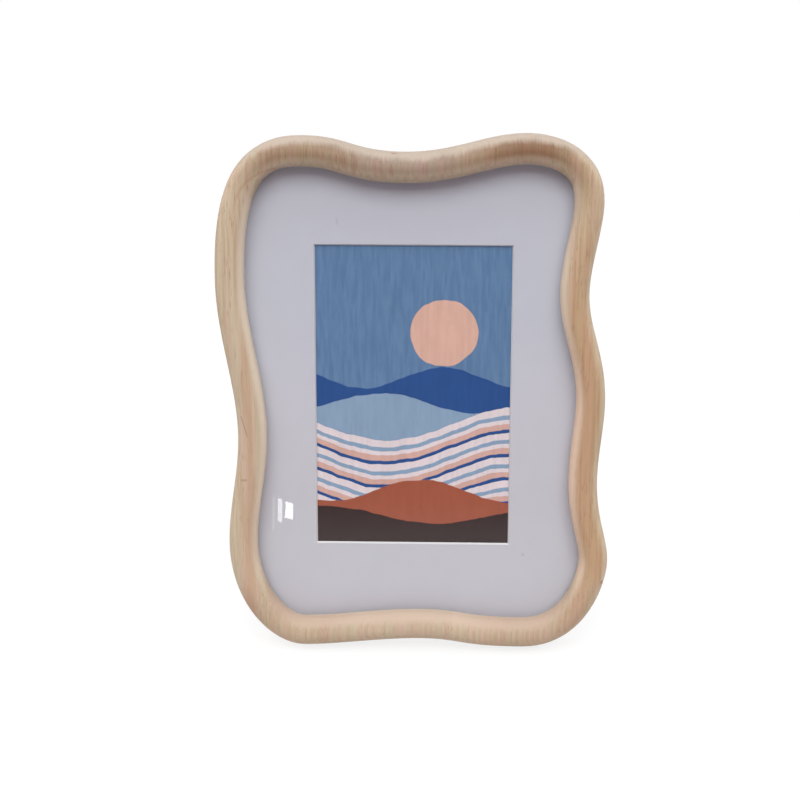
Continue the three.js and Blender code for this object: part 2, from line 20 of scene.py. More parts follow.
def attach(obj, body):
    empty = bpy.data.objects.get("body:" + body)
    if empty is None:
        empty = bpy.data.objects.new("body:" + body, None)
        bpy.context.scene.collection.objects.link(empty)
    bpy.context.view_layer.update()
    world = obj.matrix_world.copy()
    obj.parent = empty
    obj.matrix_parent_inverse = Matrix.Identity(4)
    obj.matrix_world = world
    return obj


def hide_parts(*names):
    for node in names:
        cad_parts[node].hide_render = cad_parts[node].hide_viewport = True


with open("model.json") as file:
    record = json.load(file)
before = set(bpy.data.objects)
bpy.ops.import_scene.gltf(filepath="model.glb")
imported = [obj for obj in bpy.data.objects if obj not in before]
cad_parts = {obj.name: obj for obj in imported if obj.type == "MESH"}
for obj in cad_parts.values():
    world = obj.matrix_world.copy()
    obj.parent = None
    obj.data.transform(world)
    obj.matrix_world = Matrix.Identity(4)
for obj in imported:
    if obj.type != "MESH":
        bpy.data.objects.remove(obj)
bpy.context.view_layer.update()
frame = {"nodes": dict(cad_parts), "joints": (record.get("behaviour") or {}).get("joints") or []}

Pair = tuple[float, float]
Triple = tuple[float, float, float]
Colour = Triple
Piece = bpy.types.Object
Node = bpy.types.Node
Socket = bpy.types.NodeSocket
Feed = Union[Socket, float, Triple]
Test = Callable[[Vector, Vector], bool]

LOG = logging.getLogger("photo_frame")
IMAGE_SIZE = 800
MM = 0.001
ORIGIN: Triple = (0.0, 0.0, 0.0)
SIDES = (("left", -1.0), ("right", 1.0))

# Degrees that the frame leans back and that the strut stands open.
LEAN, STRUT_OPENING = 12.0, 30.0
# Millimetres between loose layers, off a stamped sheet's edges, and for touching places.
CLEARANCE, SHEET_EDGE, NEAR = 0.3, 0.14, 0.01
# Handle of a quarter circle of radius one.
QUARTER = 0.5523
# How far a direction has to follow an axis to count as parallel.
PARALLEL = 0.9


class Pick(Enum):
    """What a selection in edit mode takes."""

    CORNERS = "VERT"
    EDGES = "EDGE"
    FACES = "FACE"


class Along(Enum):
    """The axis that a round bar follows on its seat, as the turn that lays it there."""

    ACROSS = (0.0, math.pi / 2, 0.0)
    THROUGH = (0.0, 0.0, 0.0)


class Carve(Enum):
    """How a second shape changes a piece."""

    ADD = "UNION"
    CUT = "DIFFERENCE"


@dataclass(frozen=True)
class Seat:
    """A place where pieces are modelled: x to the right, y up the piece, z to the front.

    Attributes:
        origin: Place of the seat in the row frame, in millimetres.
        tilt: Turn about x from lying flat, in degrees.
    """

    origin: Triple
    tilt: float

    def matrix(self) -> Matrix:
        """Gives the move from the seat to the row frame, in metres."""
        turn = Matrix.Rotation(math.radians(self.tilt), 4, "X")
        return Matrix.Translation(Vector(self.origin) * MM) @ turn


def joint_place(name: str) -> Triple:
    """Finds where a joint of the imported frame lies.

    Args:
        name: The joint's name in the record.

    Returns:
        Its place in the row frame, in millimetres.
    """
    joint = next(entry for entry in frame["joints"] if entry["name"] == name)
    x, y, z = joint["pos_m"]
    return (x / MM, y / MM, z / MM)


LEANING = Seat((0.0, -9.769, 116.532), 90.0 - LEAN)
HINGE_SEAT = Seat(joint_place("strut_fold"), LEANING.tilt)
STRUT_SEAT = Seat(joint_place("strut_fold"), LEANING.tilt + STRUT_OPENING)
STRAP_SEAT = Seat(joint_place("ring_swing"), LEANING.tilt)
RING_SEAT = Seat(joint_place("ring_swing"), 90.0)


def clear_selection() -> None:
    """Leaves edit mode and deselects every object."""
    if bpy.context.mode != "OBJECT":
        bpy.ops.object.mode_set(mode="OBJECT")
    bpy.ops.object.select_all(action="DESELECT")


def focus(piece: Piece) -> None:
    """Makes one object the only selected one.

    Args:
        piece: The object to select and make active.
    """
    clear_selection()
    piece.select_set(True)
    bpy.context.view_layer.objects.active = piece


@contextmanager
def edit_mode(piece: Piece) -> Iterator[None]:
    """Opens a mesh for shaping with nothing selected, and closes it again.

    Args:
        piece: The mesh object to shape.
    """
    focus(piece)
    bpy.ops.object.mode_set(mode="EDIT")
    bpy.ops.mesh.select_all(action="DESELECT")
    yield
    bpy.ops.object.mode_set(mode="OBJECT")


def pick(piece: Piece, kind: Pick, test: Test) -> None:
    """Selects parts of the mesh in edit mode by their place and direction.

    Args:
        piece: The mesh object that is open for shaping.
        kind: Whether corners, edges or faces are meant.
        test: Gets the middle in millimetres and the normal, or an edge's direction.
    """
    bpy.ops.mesh.select_mode(type=kind.value)
    bpy.ops.mesh.select_all(action="DESELECT")
    mesh = bmesh.from_edit_mesh(piece.data)
    if kind is Pick.CORNERS:
        for corner in mesh.verts:
            corner.select_set(test(corner.co / MM, corner.normal))
    elif kind is Pick.EDGES:
        for edge in mesh.edges:
            first, second = (corner.co for corner in edge.verts)
            edge.select_set(test((first + second) / (2 * MM), (second - first).normalized()))
    else:
        for face in mesh.faces:
            face.select_set(test(face.calc_center_median() / MM, face.normal))
    mesh.select_flush_mode()
    bmesh.update_edit_mesh(piece.data)


def draw_out(height: float) -> None:
    """Extrudes the selection towards the front by a height in millimetres."""
    move = {"value": (0.0, 0.0, height * MM)}
    bpy.ops.mesh.extrude_region_move(TRANSFORM_OT_translate=move)


def apply_modifier(piece: Piece, kind: str, **settings: object) -> None:
    """Adds a modifier to a piece and applies it.

    Args:
        piece: The mesh object.
        kind: The modifier's type.
        **settings: Its properties.
    """
    focus(piece)
    modifier = piece.modifiers.new(kind.title(), kind)
    for key, value in settings.items():
        setattr(modifier, key, value)
    bpy.ops.object.modifier_apply(modifier=modifier.name)


def apply_place(piece: Piece) -> None:
    """Puts an object's place, turn and scale into its mesh."""
    focus(piece)
    bpy.ops.object.transform_apply(location=True, rotation=True, scale=True)


def add_slab(low: Triple, high: Triple) -> Piece:
    """Adds a block between two corners.

    Args:
        low: Lowest corner, in millimetres.
        high: Highest corner, in millimetres.

    Returns:
        The new mesh object.
    """
    clear_selection()
    middle = (Vector(low) + Vector(high)) * (MM / 2)
    bpy.ops.mesh.primitive_cube_add(size=1.0, location=middle)
    slab = bpy.context.object
    slab.scale = (Vector(high) - Vector(low)) * MM
    apply_place(slab)
    return slab


def add_round(radius: float, start: float, end: float, along: Along) -> Piece:
    """Adds a round bar through the middle of its seat.

    Args:
        radius: Its radius, in millimetres.
        start: Where it starts along its axis.
        end: Where it ends along its axis.
        along: Its axis.

    Returns:
        The new mesh object.
    """
    clear_selection()
    half = (start + end) / 2 * MM
    middle = (half, 0.0, 0.0) if along is Along.ACROSS else (0.0, 0.0, half)
    bpy.ops.mesh.primitive_cylinder_add(vertices=48, radius=radius * MM, depth=(end - start) * MM,
                                        location=middle, rotation=along.value)
    bar = bpy.context.object
    apply_place(bar)
    return bar


@dataclass(frozen=True)
class Station:
    """A point of a closed curve, in millimetres.

    Attributes:
        place: Where it lies.
        before: Its handle towards the point before it, from its place.
        after: Its handle towards the next point.
    """

    place: Pair
    before: Pair = (0.0, 0.0)
    after: Pair = (0.0, 0.0)


def closed_curve(radius: float, stations: list[Station], steps: int) -> Piece:
    """Draws a closed curve as a circle whose points are moved.

    Args:
        radius: Radius of the circle, in millimetres.
        stations: The curve's points in order.
        steps: Straight lengths between two points.

    Returns:
        The curve object.
    """
    clear_selection()
    bpy.ops.curve.primitive_bezier_circle_add(radius=radius * MM)
    curve = bpy.context.object
    spline = curve.data.splines[0]
    spline.bezier_points.add(len(stations) - len(spline.bezier_points))
    for point, station in zip(spline.bezier_points, stations):
        place = Vector((*station.place, 0.0)) * MM
        point.handle_left_type = point.handle_right_type = "FREE"
        point.co = place
        point.handle_left = place + Vector((*station.before, 0.0)) * MM
        point.handle_right = place + Vector((*station.after, 0.0)) * MM
    curve.data.dimensions = "3D"
    curve.data.twist_mode = "Z_UP"
    curve.data.resolution_u = steps
    return curve


def curve_to_mesh(curve: Piece) -> None:
    """Turns a curve into a mesh."""
    focus(curve)
    bpy.ops.object.convert(target="MESH")


def carve(piece: Piece, other: Piece, way: Carve) -> None:
    """Adds a second shape to a piece or cuts it out, and removes that shape.

    Args:
        piece: The piece that changes.
        other: The shape that is used up.
        way: Whether it is added or cut out.
    """
    apply_modifier(piece, "BOOLEAN", object=other, operation=way.value, solver="EXACT")
    bpy.data.objects.remove(other)


def round_edges(piece: Piece, test: Test, radius: float, steps: int = 6) -> None:
    """Rounds the edges that pass a test.

    Args:
        piece: The mesh object.
        test: Gets an edge's middle in millimetres and its direction.
        radius: Radius of the rounding, in millimetres.
        steps: Faces across the rounding.
    """
    with edit_mode(piece):
        pick(piece, Pick.EDGES, test)
        bpy.ops.mesh.bevel(offset=radius * MM, segments=steps, affect="EDGES")


def clean(piece: Piece, sharpness: float = 35.0) -> None:
    """Merges doubles, turns the faces outwards and smooths the shading.

    Args:
        piece: The mesh object.
        sharpness: Angle above which an edge stays crisp, in degrees.
    """
    with edit_mode(piece):
        bpy.ops.mesh.select_all(action="SELECT")
        bpy.ops.mesh.remove_doubles(threshold=0.002 * MM)
        bpy.ops.mesh.normals_make_consistent(inside=False)
    focus(piece)
    bpy.ops.object.shade_smooth_by_angle(angle=math.radians(sharpness))


def soften(piece: Piece, width: float, steps: int = 2, sharpness: float = 32.0) -> None:
    """Breaks all sharp edges of a piece and cleans it.

    Args:
        piece: The mesh object.
        width: Width of the broken edge, in millimetres.
        steps: Faces across it.
        sharpness: Least angle of an edge that counts as sharp, in degrees.
    """
    apply_modifier(piece, "BEVEL", width=width * MM, segments=steps, limit_method="ANGLE",
                   angle_limit=math.radians(sharpness))
    clean(piece)


def copy_of(piece: Piece) -> Piece:
    """Copies a piece with a mesh of its own.

    Args:
        piece: The mesh object to copy.

    Returns:
        The copy.
    """
    focus(piece)
    bpy.ops.object.duplicate(linked=False)
    return bpy.context.object


def settle(piece: Piece, seat: Seat, at: Triple = ORIGIN, spin: float = 0.0) -> None:
    """Moves a piece from its seat to its place in the row frame.

    Args:
        piece: The mesh object, modelled on the seat.
        seat: Where it belongs.
        at: Where it goes on the seat, in millimetres.
        spin: Turn about the seat's z first, in degrees.
    """
    turn = Matrix.Rotation(math.radians(spin), 4, "Z")
    piece.matrix_world = seat.matrix() @ Matrix.Translation(Vector(at) * MM) @ turn
    bpy.context.view_layer.update()
    apply_place(piece)


class NodeBoard:
    """Places and links the nodes of one material, world or node group."""

    def __init__(self, tree: bpy.types.NodeTree) -> None:
        """Takes the node tree to work on."""
        self.tree = tree

    def add(self, kind: str, **settings: object) -> Node:
        """Adds a node.

        Args:
            kind: Its type, without the prefix that all shader nodes share.
            **settings: Properties of the node.

        Returns:
            The new node.
        """
        node = self.tree.nodes.new("ShaderNode" + kind)
        for key, value in settings.items():
            setattr(node, key, value)
        return node

    def feed(self, socket: Socket, value: Feed) -> None:
        """Links a socket or sets its value.

        Args:
            socket: An input socket.
            value: An output socket, a number, or the parts of a vector or colour.
        """
        if isinstance(value, bpy.types.NodeSocket):
            self.tree.links.new(value, socket)
        elif isinstance(value, tuple) and socket.type == "RGBA":
            socket.default_value = (*value, 1.0)
        else:
            socket.default_value = value

    def feed_all(self, node: Node, values: dict[Union[str, int], Feed]) -> Node:
        """Feeds several inputs of a node.

        Args:
            node: The node.
            values: What its inputs get, by name or number.

        Returns:
            The node.
        """
        for key, value in values.items():
            self.feed(node.inputs[key], value)
        return node

    def maths(self, operation: str, *values: Feed) -> Socket:
        """Combines values by an operation of the Math node."""
        node = self.add("Math", operation=operation)
        return self.feed_all(node, dict(enumerate(values))).outputs[0]

    def times(self, first: Feed, *others: Feed) -> Socket:
        """Multiplies values.

        Args:
            first: The first of them.
            *others: The others.

        Returns:
            Their product.
        """
        for other in others:
            first = self.maths("MULTIPLY", first, other)
        return first

    def scaled(self, value: Feed, factor: Feed, start: Feed) -> Socket:
        """Multiplies a value and adds a start."""
        return self.maths("MULTIPLY_ADD", value, factor, start)

    def size(self, value: Socket) -> Socket:
        """Drops the sign of a value."""
        return self.maths("ABSOLUTE", value)

    def less(self, value: Feed, other: Feed) -> Socket:
        """Takes one value from another."""
        return self.maths("SUBTRACT", value, other)

    def vectors(self, operation: str, first: Feed, second: Feed = ORIGIN) -> Node:
        """Combines two vectors, or changes one, and gives the node for its outputs."""
        node = self.add("VectorMath", operation=operation)
        return self.feed_all(node, {0: first, 1: second})

    def length(self, vector: Socket) -> Socket:
        """Gives the length of a vector."""
        return self.vectors("LENGTH", vector).outputs["Value"]

    def join(self, *parts: Feed) -> Socket:
        """Makes a vector of its parts, with zero for those left out."""
        return self.feed_all(self.add("CombineXYZ"), dict(enumerate(parts))).outputs[0]

    def parts(self, vector: Socket) -> tuple[Socket, Socket, Socket]:
        """Splits a vector into x, y and z."""
        x, y, z = self.feed_all(self.add("SeparateXYZ"), {0: vector}).outputs
        return x, y, z

    def seen_from(self, vector: Socket, place: Triple, turn: Triple, unit: float = 1.0) -> Socket:
        """Tells where a point lies for a viewer that stands elsewhere.

        Args:
            vector: The point.
            place: Where the viewer stands.
            turn: How the viewer is turned, in radians.
            unit: Length of the viewer's unit.

        Returns:
            The point in the viewer's units.
        """
        node = self.add("Mapping", vector_type="TEXTURE")
        self.feed_all(node, {"Vector": vector, "Location": place, "Rotation": turn})
        return self.feed_all(node, {"Scale": (unit, unit, unit)}).outputs["Vector"]

    def seat_place(self, seat: Seat) -> Socket:
        """Gives the surface's place on a seat, in millimetres."""
        start, tilt = tuple(Vector(seat.origin) * MM), math.radians(seat.tilt)
        return self.seen_from(self.add("TexCoord").outputs["Object"], start, (tilt, 0.0, 0.0), MM)

    def slope(self, seat: Seat, axis: int) -> Socket:
        """Tells how far the surface faces along an axis of a seat.

        Args:
            seat: The seat that the piece was modelled on.
            axis: Number of the axis: across, up or to the front.

        Returns:
            One where it faces along the axis, less one where it faces away.
        """
        normal = self.add("TexCoord").outputs["Normal"]
        direction = seat.matrix().col[axis].to_3d()
        return self.vectors("DOT_PRODUCT", normal, tuple(direction)).outputs["Value"]

    def noise(self, place: Feed, scale: Triple, detail: float = 2.0,
              roughness: float = 0.5) -> Socket:
        """Adds noise that may be stretched.

        Args:
            place: Where it is read.
            scale: Features per millimetre along x, y and z.
            detail: Finer layers.
            roughness: Share of the finer layers.

        Returns:
            Values about 0.5.
        """
        place = self.vectors("MULTIPLY", place, scale).outputs[0]
        inputs = {"Vector": place, "Scale": 1.0, "Detail": detail, "Roughness": roughness}
        return self.feed_all(self.add("TexNoise"), inputs).outputs["Fac"]

    def between(self, value: Feed, low: Feed, high: Feed, to_low: Feed = 0.0,
                to_high: Feed = 1.0) -> Socket:
        """Turns a range of values smoothly into another.

        Args:
            value: The value.
            low: Start of its range.
            high: End of its range.
            to_low: Result up to the start.
            to_high: Result past the end.

        Returns:
            The result.
        """
        node = self.add("MapRange", interpolation_type="SMOOTHSTEP")
        inputs = dict(enumerate((value, low, high, to_low, to_high)))
        return self.feed_all(node, inputs).outputs[0]

    def mix(self, share: Feed, first: Feed, second: Feed, way: str = "MIX") -> Socket:
        """Mixes a share of the second colour into the first."""
        node = self.add("Mix", data_type="RGBA", blend_type=way)
        return self.feed_all(node, {0: share, 6: first, 7: second}).outputs[2]

    def tinted(self, colour: Feed, tone: Feed) -> Socket:
        """Multiplies a colour by a tone."""
        return self.mix(1.0, colour, tone, "MULTIPLY")

    def bump(self, height: Socket, strength: float, depth: float) -> Socket:
        """Gives normals for a relief from 0 to 1, with its depth in millimetres."""
        inputs = {"Strength": strength, "Distance": depth * MM, "Height": height}
        return self.feed_all(self.add("Bump"), inputs).outputs["Normal"]

    def use(self, group: bpy.types.NodeTree, **values: Feed) -> Node:
        """Places a node group whose inputs get the values, by name."""
        return self.feed_all(self.add("Group", node_tree=group), values)

    def coat(self, shader: Node, colour: Feed, roughness: Feed, normal: Socket) -> None:
        """Feeds the colour, roughness and normals of a surface's shader."""
        self.feed_all(shader, {"Base Color": colour, "Roughness": roughness, "Normal": normal})

    def either(self, share: Feed, first: Node, second: Node) -> Node:
        """Mixes a share of the second shader into the first."""
        inputs = {0: share, 1: first.outputs[0], 2: second.outputs[0]}
        return self.feed_all(self.add("MixShader"), inputs)

    def show(self, shader: Node) -> None:
        """Makes a shader the one that is seen."""
        output = next(node for node in self.tree.nodes if node.type.startswith("OUTPUT"))
        self.feed(output.inputs["Surface"], shader.outputs[0])


Sockets = dict[str, str]


def new_group(name: str, inputs: Sockets, outputs: Sockets) -> tuple[NodeBoard, Node, Node]:
    """Starts a node group with named sockets.

    Args:
        name: The group's name.
        inputs: Types of its inputs by name.
        outputs: Types of its outputs by name.

    Returns:
        A board on the new group, its input node and its output node.
    """
    tree = bpy.data.node_groups.new(name, "ShaderNodeTree")
    for side, sockets in (("INPUT", inputs), ("OUTPUT", outputs)):
        for label, kind in sockets.items():
            tree.interface.new_socket(label, in_out=side, socket_type="NodeSocket" + kind)
    start, end = tree.nodes.new("NodeGroupInput"), tree.nodes.new("NodeGroupOutput")
    return NodeBoard(tree), start, end


class Effects:
    """Surface effects that several finishes share, each built once as a node group."""

    def __init__(self) -> None:
        """Builds the groups."""
        self.paper_tooth = self.build_paper_tooth()
        self.handling_wear = self.build_handling_wear()

    def build_paper_tooth(self) -> bpy.types.NodeTree:
        """Builds the pressed fibre texture of paper and board.

        Returns:
            A group that turns a place and a fibre size into a tone and a relief.
        """
        board, start, end = new_group("PaperTooth", {"Place": "Vector", "Fibre": "Float"},
                                      {"Tone": "Float", "Relief": "Float"})
        scaled = board.vectors("SCALE", start.outputs["Place"])
        board.feed(scaled.inputs["Scale"], start.outputs["Fibre"])
        place = scaled.outputs[0]
        across = board.noise(place, (1.0, 0.25, 1.0), 3.0, 0.6)
        down = board.noise(place, (0.25, 1.0, 1.0), 3.0, 0.6)
        cloud = board.noise(place, (0.05, 0.05, 0.05), 3.0)
        weave = board.times(board.maths("ADD", across, down), 0.5)
        tone = board.times(board.maths("ADD", weave, cloud), 0.5)
        board.feed_all(end, {"Relief": weave, "Tone": tone})
        return board.tree

    def build_handling_wear(self) -> bpy.types.NodeTree:
        """Builds the smears and fine scratches of handled plated metal.

        Returns:
            A group that turns a place into smears, scratches and a relief.
        """
        board, start, end = new_group("HandlingWear", {"Place": "Vector"},
                                      {"Smear": "Float", "Scratch": "Float", "Relief": "Float"})
        place = start.outputs["Place"]
        smear = board.noise(place, (0.35, 0.35, 0.35), 4.0, 0.6)
        lines = board.noise(place, (9.0, 0.5, 9.0), 2.0, 0.7)
        patches = board.noise(place, (0.5, 0.5, 0.5))
        scratch = board.times(board.between(lines, 0.58, 0.72),
                              board.between(patches, 0.42, 0.62))
        grit = board.noise(place, (6.0, 6.0, 6.0), 3.0, 0.6)
        relief = board.less(grit, board.times(scratch, 0.5))
        smear = board.between(smear, 0.35, 0.7)
        board.feed_all(end, {"Smear": smear, "Scratch": scratch, "Relief": relief})
        return board.tree


EFFECTS = Effects()


@dataclass(frozen=True)
class Finish:
    """A material of the frame.

    Attributes:
        name: Name of the material.
        slot: The record's material slot, which this script doesn't use.
    """

    name: str
    slot: str

    def paint(self, board: NodeBoard, shader: Node) -> None:
        """Builds the finish; each kind has its own."""
        raise NotImplementedError

    def material(self) -> bpy.types.Material:
        """Gives the material, built at its first use.

        Returns:
            The material.
        """
        known = bpy.data.materials.get(self.name)
        if known:
            return known
        material = bpy.data.materials.new(self.name)
        material.use_nodes = True
        self.paint(NodeBoard(material.node_tree), material.node_tree.nodes["Principled BSDF"])
        return material

    def dress(self, piece: Piece) -> None:
        """Puts the finish on a piece in place of any other."""
        piece.data.materials.clear()
        piece.data.materials.append(self.material())


@dataclass(frozen=True)
class Mark:
    """A small dark flaw in the wood or the mat, a speck or a hairline.

    Attributes:
        place: Its middle on the leaning seat, in millimetres.
        width: Its width.
        length: Its length beyond a round speck.
        lean: Turn of its length from upright, in degrees.
        through: Share of the depth that counts for its distance.
        strength: How dark it is.
        core: Share of the width that is darkest.
    """

    place: Triple
    width: float
    length: float = 0.0
    lean: float = 0.0
    through: float = 1.0
    strength: float = 0.8
    core: float = 0.3

    def mask(self, board: NodeBoard, place: Socket) -> Socket:
        """Draws the flaw.

        Args:
            board: The material's nodes.
            place: Place on the leaning seat.

        Returns:
            Its strength.
        """
        place = board.seen_from(place, self.place, (0.0, 0.0, math.radians(self.lean)))
        side, along, deep = board.parts(place)
        beyond = board.maths("MAXIMUM", board.less(board.size(along), self.length / 2), 0.0)
        distance = board.length(board.join(side, beyond, board.times(deep, self.through)))
        return board.between(distance, self.width * self.core, self.width, self.strength, 0.0)


class WoodNoise(Enum):
    """Noise of the wood: features per millimetre, finer layers and their share."""

    STRIPES = ((0.24, 0.005, 0.16), 2.0, 0.5)
    STREAKS = ((0.75, 0.011, 0.45), 4.0, 0.6)
    FIBRES = ((3.2, 0.10, 2.0), 3.0, 0.6)
    PORES = ((1.7, 0.13, 0.9), 2.0, 0.55)
    PORE_GROUPS = ((0.09, 0.03, 0.09), 2.0, 0.5)
    RING_WANDER = ((0.03, 0.006, 0.03), 2.0, 0.5)
    RING_STRENGTH = ((0.12, 0.01, 0.12), 2.0, 0.5)
    HEART_WANDER = ((0.0, 0.012, 0.0), 2.0, 0.5)
    CREST_FRINGE = ((2.1, 0.07, 0.2), 3.0, 0.6)
    CREST_PATCHES = ((0.11, 0.02, 0.1), 2.0, 0.5)
    STAVE_TINT = ((0.73, 0.73, 0.73), 0.0, 0.5)

    def at(self, board: NodeBoard, place: Feed) -> Socket:
        """Reads the noise at a place."""
        return board.noise(place, *self.value)


@dataclass(frozen=True)
class WoodPoint:
    """What the wood's nodes know of a point of the surface.

    Attributes:
        place: Its place on the leaning seat, in millimetres.
        across: Its place across the frame.
        up: Its place up the frame.
        stave: Number of its stave.
        grain: Its place in that stave's own wood.
        rise: How far the surface faces up.
        outwards: How far it faces out of the ring, and less than zero into it.
        along: How far the fibres lie in the surface.
    """

    place: Socket
    across: Socket
    up: Socket
    stave: Socket
    grain: Socket
    rise: Socket
    outwards: Socket
    along: Socket


@dataclass(frozen=True)
class BareWood(Finish):
    """Pale sanded wood of glued upright staves, with its grain upright everywhere.

    Places are on the leaning seat from the frame's middle, in millimetres. A pair of
    them is where a stretch of the wood starts and where it has come in full.

    Attributes:
        straw: Colour of the yellowish stripes.
        rose: Colour of the pinkish stripes.
        late: Colour of the late wood.
        heart: Colour of the reddish heart streaks.
        pale: Colour of the top rail's upward-facing outer slope, where the fibres end: the end
            grain's darker tone, set duller and cooler as a painted sheen.
        lit_bottom_slope: Colour of the bottom rail's upward-facing inner slope, painted lighter for
            the light from above.
        rim: Colour of the stiles' inner edge, a painted sheen: the mat's light mirrored off the
            wood at a grazing angle.
        right_rim_sheen: That painted sheen on the right stile.
        crown: Tint of the top rail's crest, where the fibres run out.
        dip: Tint of that crest in the rail's dip.
        tan: Tint of that crest on the right.
        blush: Tint of the right stile.
        foot: Tint of the bottom rail.
        toe: Tint of that rail's ends.
        pore: Colour inside the pores.
        stave_joints: Where the staves meet.
        stave_shift: How far each stave's wood lies from that of the one before it.
        half_ring: Half width and half height of the ring's middle line.
        top_rail: Stretch of the top rail.
        bottom_rail: Stretch of the bottom rail.
        right_stile: Stretch of the right stile.
        tan_crest: Stretch of the top rail that is tan.
        crest_ends: Stretches of the top rail's left and right ends.
        toes: Stretches of the bottom rail's right and left ends.
        dip_middle: Middle of the top rail's dip.
        heart_line: Least place across of the reddish band.
        arc_middle: Middle of the reddish growth line's bend.
        arc_radius: Radius of that bend.
        ring_pitch: Distance of the growth rings.
        marks: Flaws of the wood.
    """

    straw: Colour = (0.544, 0.446, 0.316)
    rose: Colour = (0.568, 0.423, 0.319)
    late: Colour = (0.446, 0.312, 0.196)
    heart: Colour = (0.469, 0.284, 0.180)
    # The colours of the slopes that face up carry painted light from above as well as the end
    # grain's tone.
    pale: Colour = (0.405, 0.323, 0.264)
    lit_bottom_slope: Colour = (0.607, 0.465, 0.369)
    # The inner edge's two colours are painted sheen, not the wood's own colour.
    rim: Colour = (0.776, 0.651, 0.503)
    right_rim_sheen: Colour = (0.785, 0.562, 0.415)
    crown: Colour = (0.570, 0.480, 0.415)
    dip: Colour = (0.600, 0.540, 0.560)
    tan: Colour = (0.428, 0.298, 0.218)
    blush: Colour = (0.860, 0.700, 0.570)
    foot: Colour = (0.930, 0.910, 0.890)
    toe: Colour = (0.850, 0.800, 0.770)
    pore: Colour = (0.339, 0.188, 0.112)
    stave_joints: tuple[float, ...] = (-56.0, -43.8, 18.2, 21.8, 41.7, 67.0)
    stave_shift: Triple = (3.7, 61.0, 17.3)
    half_ring: Pair = (82.0, 112.0)
    top_rail: Pair = (82.0, 104.0)
    bottom_rail: Pair = (-82.0, -104.0)
    right_stile: Pair = (62.0, 74.0)
    tan_crest: Pair = (24.0, 46.0)
    crest_ends: tuple[Pair, Pair] = ((-86.0, -62.0), (80.0, 58.0))
    toes: tuple[Pair, Pair] = ((15.0, 45.0), (-20.0, -50.0))
    dip_middle: float = -4.0
    heart_line: float = -79.0
    arc_middle: Pair = (-60.0, 84.0)
    arc_radius: float = 20.3
    ring_pitch: float = 2.9
    marks: tuple[Mark, ...] = (
        Mark((-9.45, 111.1, 12.0), 2.3, strength=1.0),
        Mark((87.3, -86.0, 15.7), 1.3, strength=1.0),
        Mark((-77.5, -12.3, 17.5), 0.3, 9.5, 17.4, 0.15),
        Mark((-78.2, -37.8, 17.9), 0.75, 2.2, 100.0, 0.15, 0.5),
    )

    def paint(self, board: NodeBoard, shader: Node) -> None:
        """Builds the wood from its figure, pores, tints, flaws and fibres.

        Args:
            board: The material's nodes.
            shader: Its shader.
        """
        at = self.point(board)
        pores = self.pores(board, at)
        fibres = WoodNoise.FIBRES.at(board, at.grain)
        colour = board.mix(board.times(pores, 0.55), self.figure(board, at), self.pore)
        colour = self.slope_tints(board, at, colour)
        colour = self.rail_tints(board, at, colour)
        for mark in self.marks:
            colour = board.mix(mark.mask(board, at.place), colour, self.pore)
        colour = board.tinted(colour, self.shade(board, at, fibres))
        rough = board.between(fibres, 0.3, 0.7, 0.56, 0.68)
        relief = board.less(fibres, board.times(pores, 0.6))
        board.coat(shader, colour, rough, board.bump(relief, 0.2, 0.04))
        shader.inputs["Specular IOR Level"].default_value = 0.3

    def point(self, board: NodeBoard) -> WoodPoint:
        """Reads the place, the stave and the slopes of the surface.

        Args:
            board: The material's nodes.

        Returns:
            What they tell.
        """
        place = board.seat_place(LEANING)
        parts = across, up, _ = board.parts(place)
        stave: Feed = 0.0
        for joint in self.stave_joints:
            stave = board.maths("ADD", board.maths("GREATER_THAN", across, joint), stave)
        grain = board.join(*(board.scaled(stave, shift, part)
                             for shift, part in zip(self.stave_shift, parts)))
        shares = [board.maths("DIVIDE", *pair) for pair in zip(parts, self.half_ring)]
        outward = board.join(*(board.times(share, share, share) for share in shares))
        rise = board.slope(LEANING, 1)
        facing = board.join(board.slope(LEANING, 0), rise)
        direction = board.vectors("NORMALIZE", outward).outputs[0]
        outwards = board.vectors("DOT_PRODUCT", direction, facing).outputs["Value"]
        along = board.between(board.size(rise), 0.95, 0.45)
        return WoodPoint(place, across, up, stave, grain, rise, outwards, along)

    def figure(self, board: NodeBoard, at: WoodPoint) -> Socket:
        """Draws the stripes, streaks and rings of the wood.

        Args:
            board: The material's nodes.
            at: The point of the surface.

        Returns:
            The colour.
        """
        stripes = board.between(WoodNoise.STRIPES.at(board, at.grain), 0.4, 0.6)
        streaks = board.between(WoodNoise.STREAKS.at(board, at.grain), 0.42, 0.72, 0.0, 0.8)
        streaks = board.times(streaks, board.between(at.up, -75.0, -100.0, 1.0, 0.6))
        rings = board.times(self.growth_rings(board, at), board.scaled(at.along, 0.25, 0.1))
        colour = board.mix(stripes, self.straw, self.rose)
        colour = board.mix(streaks, colour, self.late)
        colour = board.mix(rings, colour, self.late)
        colour = board.mix(self.heart_band(board, at), colour, self.heart)
        return board.mix(self.growth_arc(board, at), colour, self.heart)

    def growth_rings(self, board: NodeBoard, at: WoodPoint) -> Socket:
        """Draws the growth rings as leaning layers that wander along the grain.

        Args:
            board: The material's nodes.
            at: The point of the surface.

        Returns:
            Strength of the late wood.
        """
        across, _, depth = board.parts(at.grain)
        wander = WoodNoise.RING_WANDER.at(board, at.grain)
        layer = board.scaled(wander, 16.0, board.scaled(depth, 0.55, across))
        phase = board.maths("FRACT", board.maths("DIVIDE", layer, self.ring_pitch))
        rise = board.between(phase, 0.15, 0.86)
        fall = board.between(phase, 0.9, 1.0, 1.0, 0.0)
        strength = board.between(WoodNoise.RING_STRENGTH.at(board, at.grain), 0.3, 0.7)
        return board.times(rise, fall, strength)

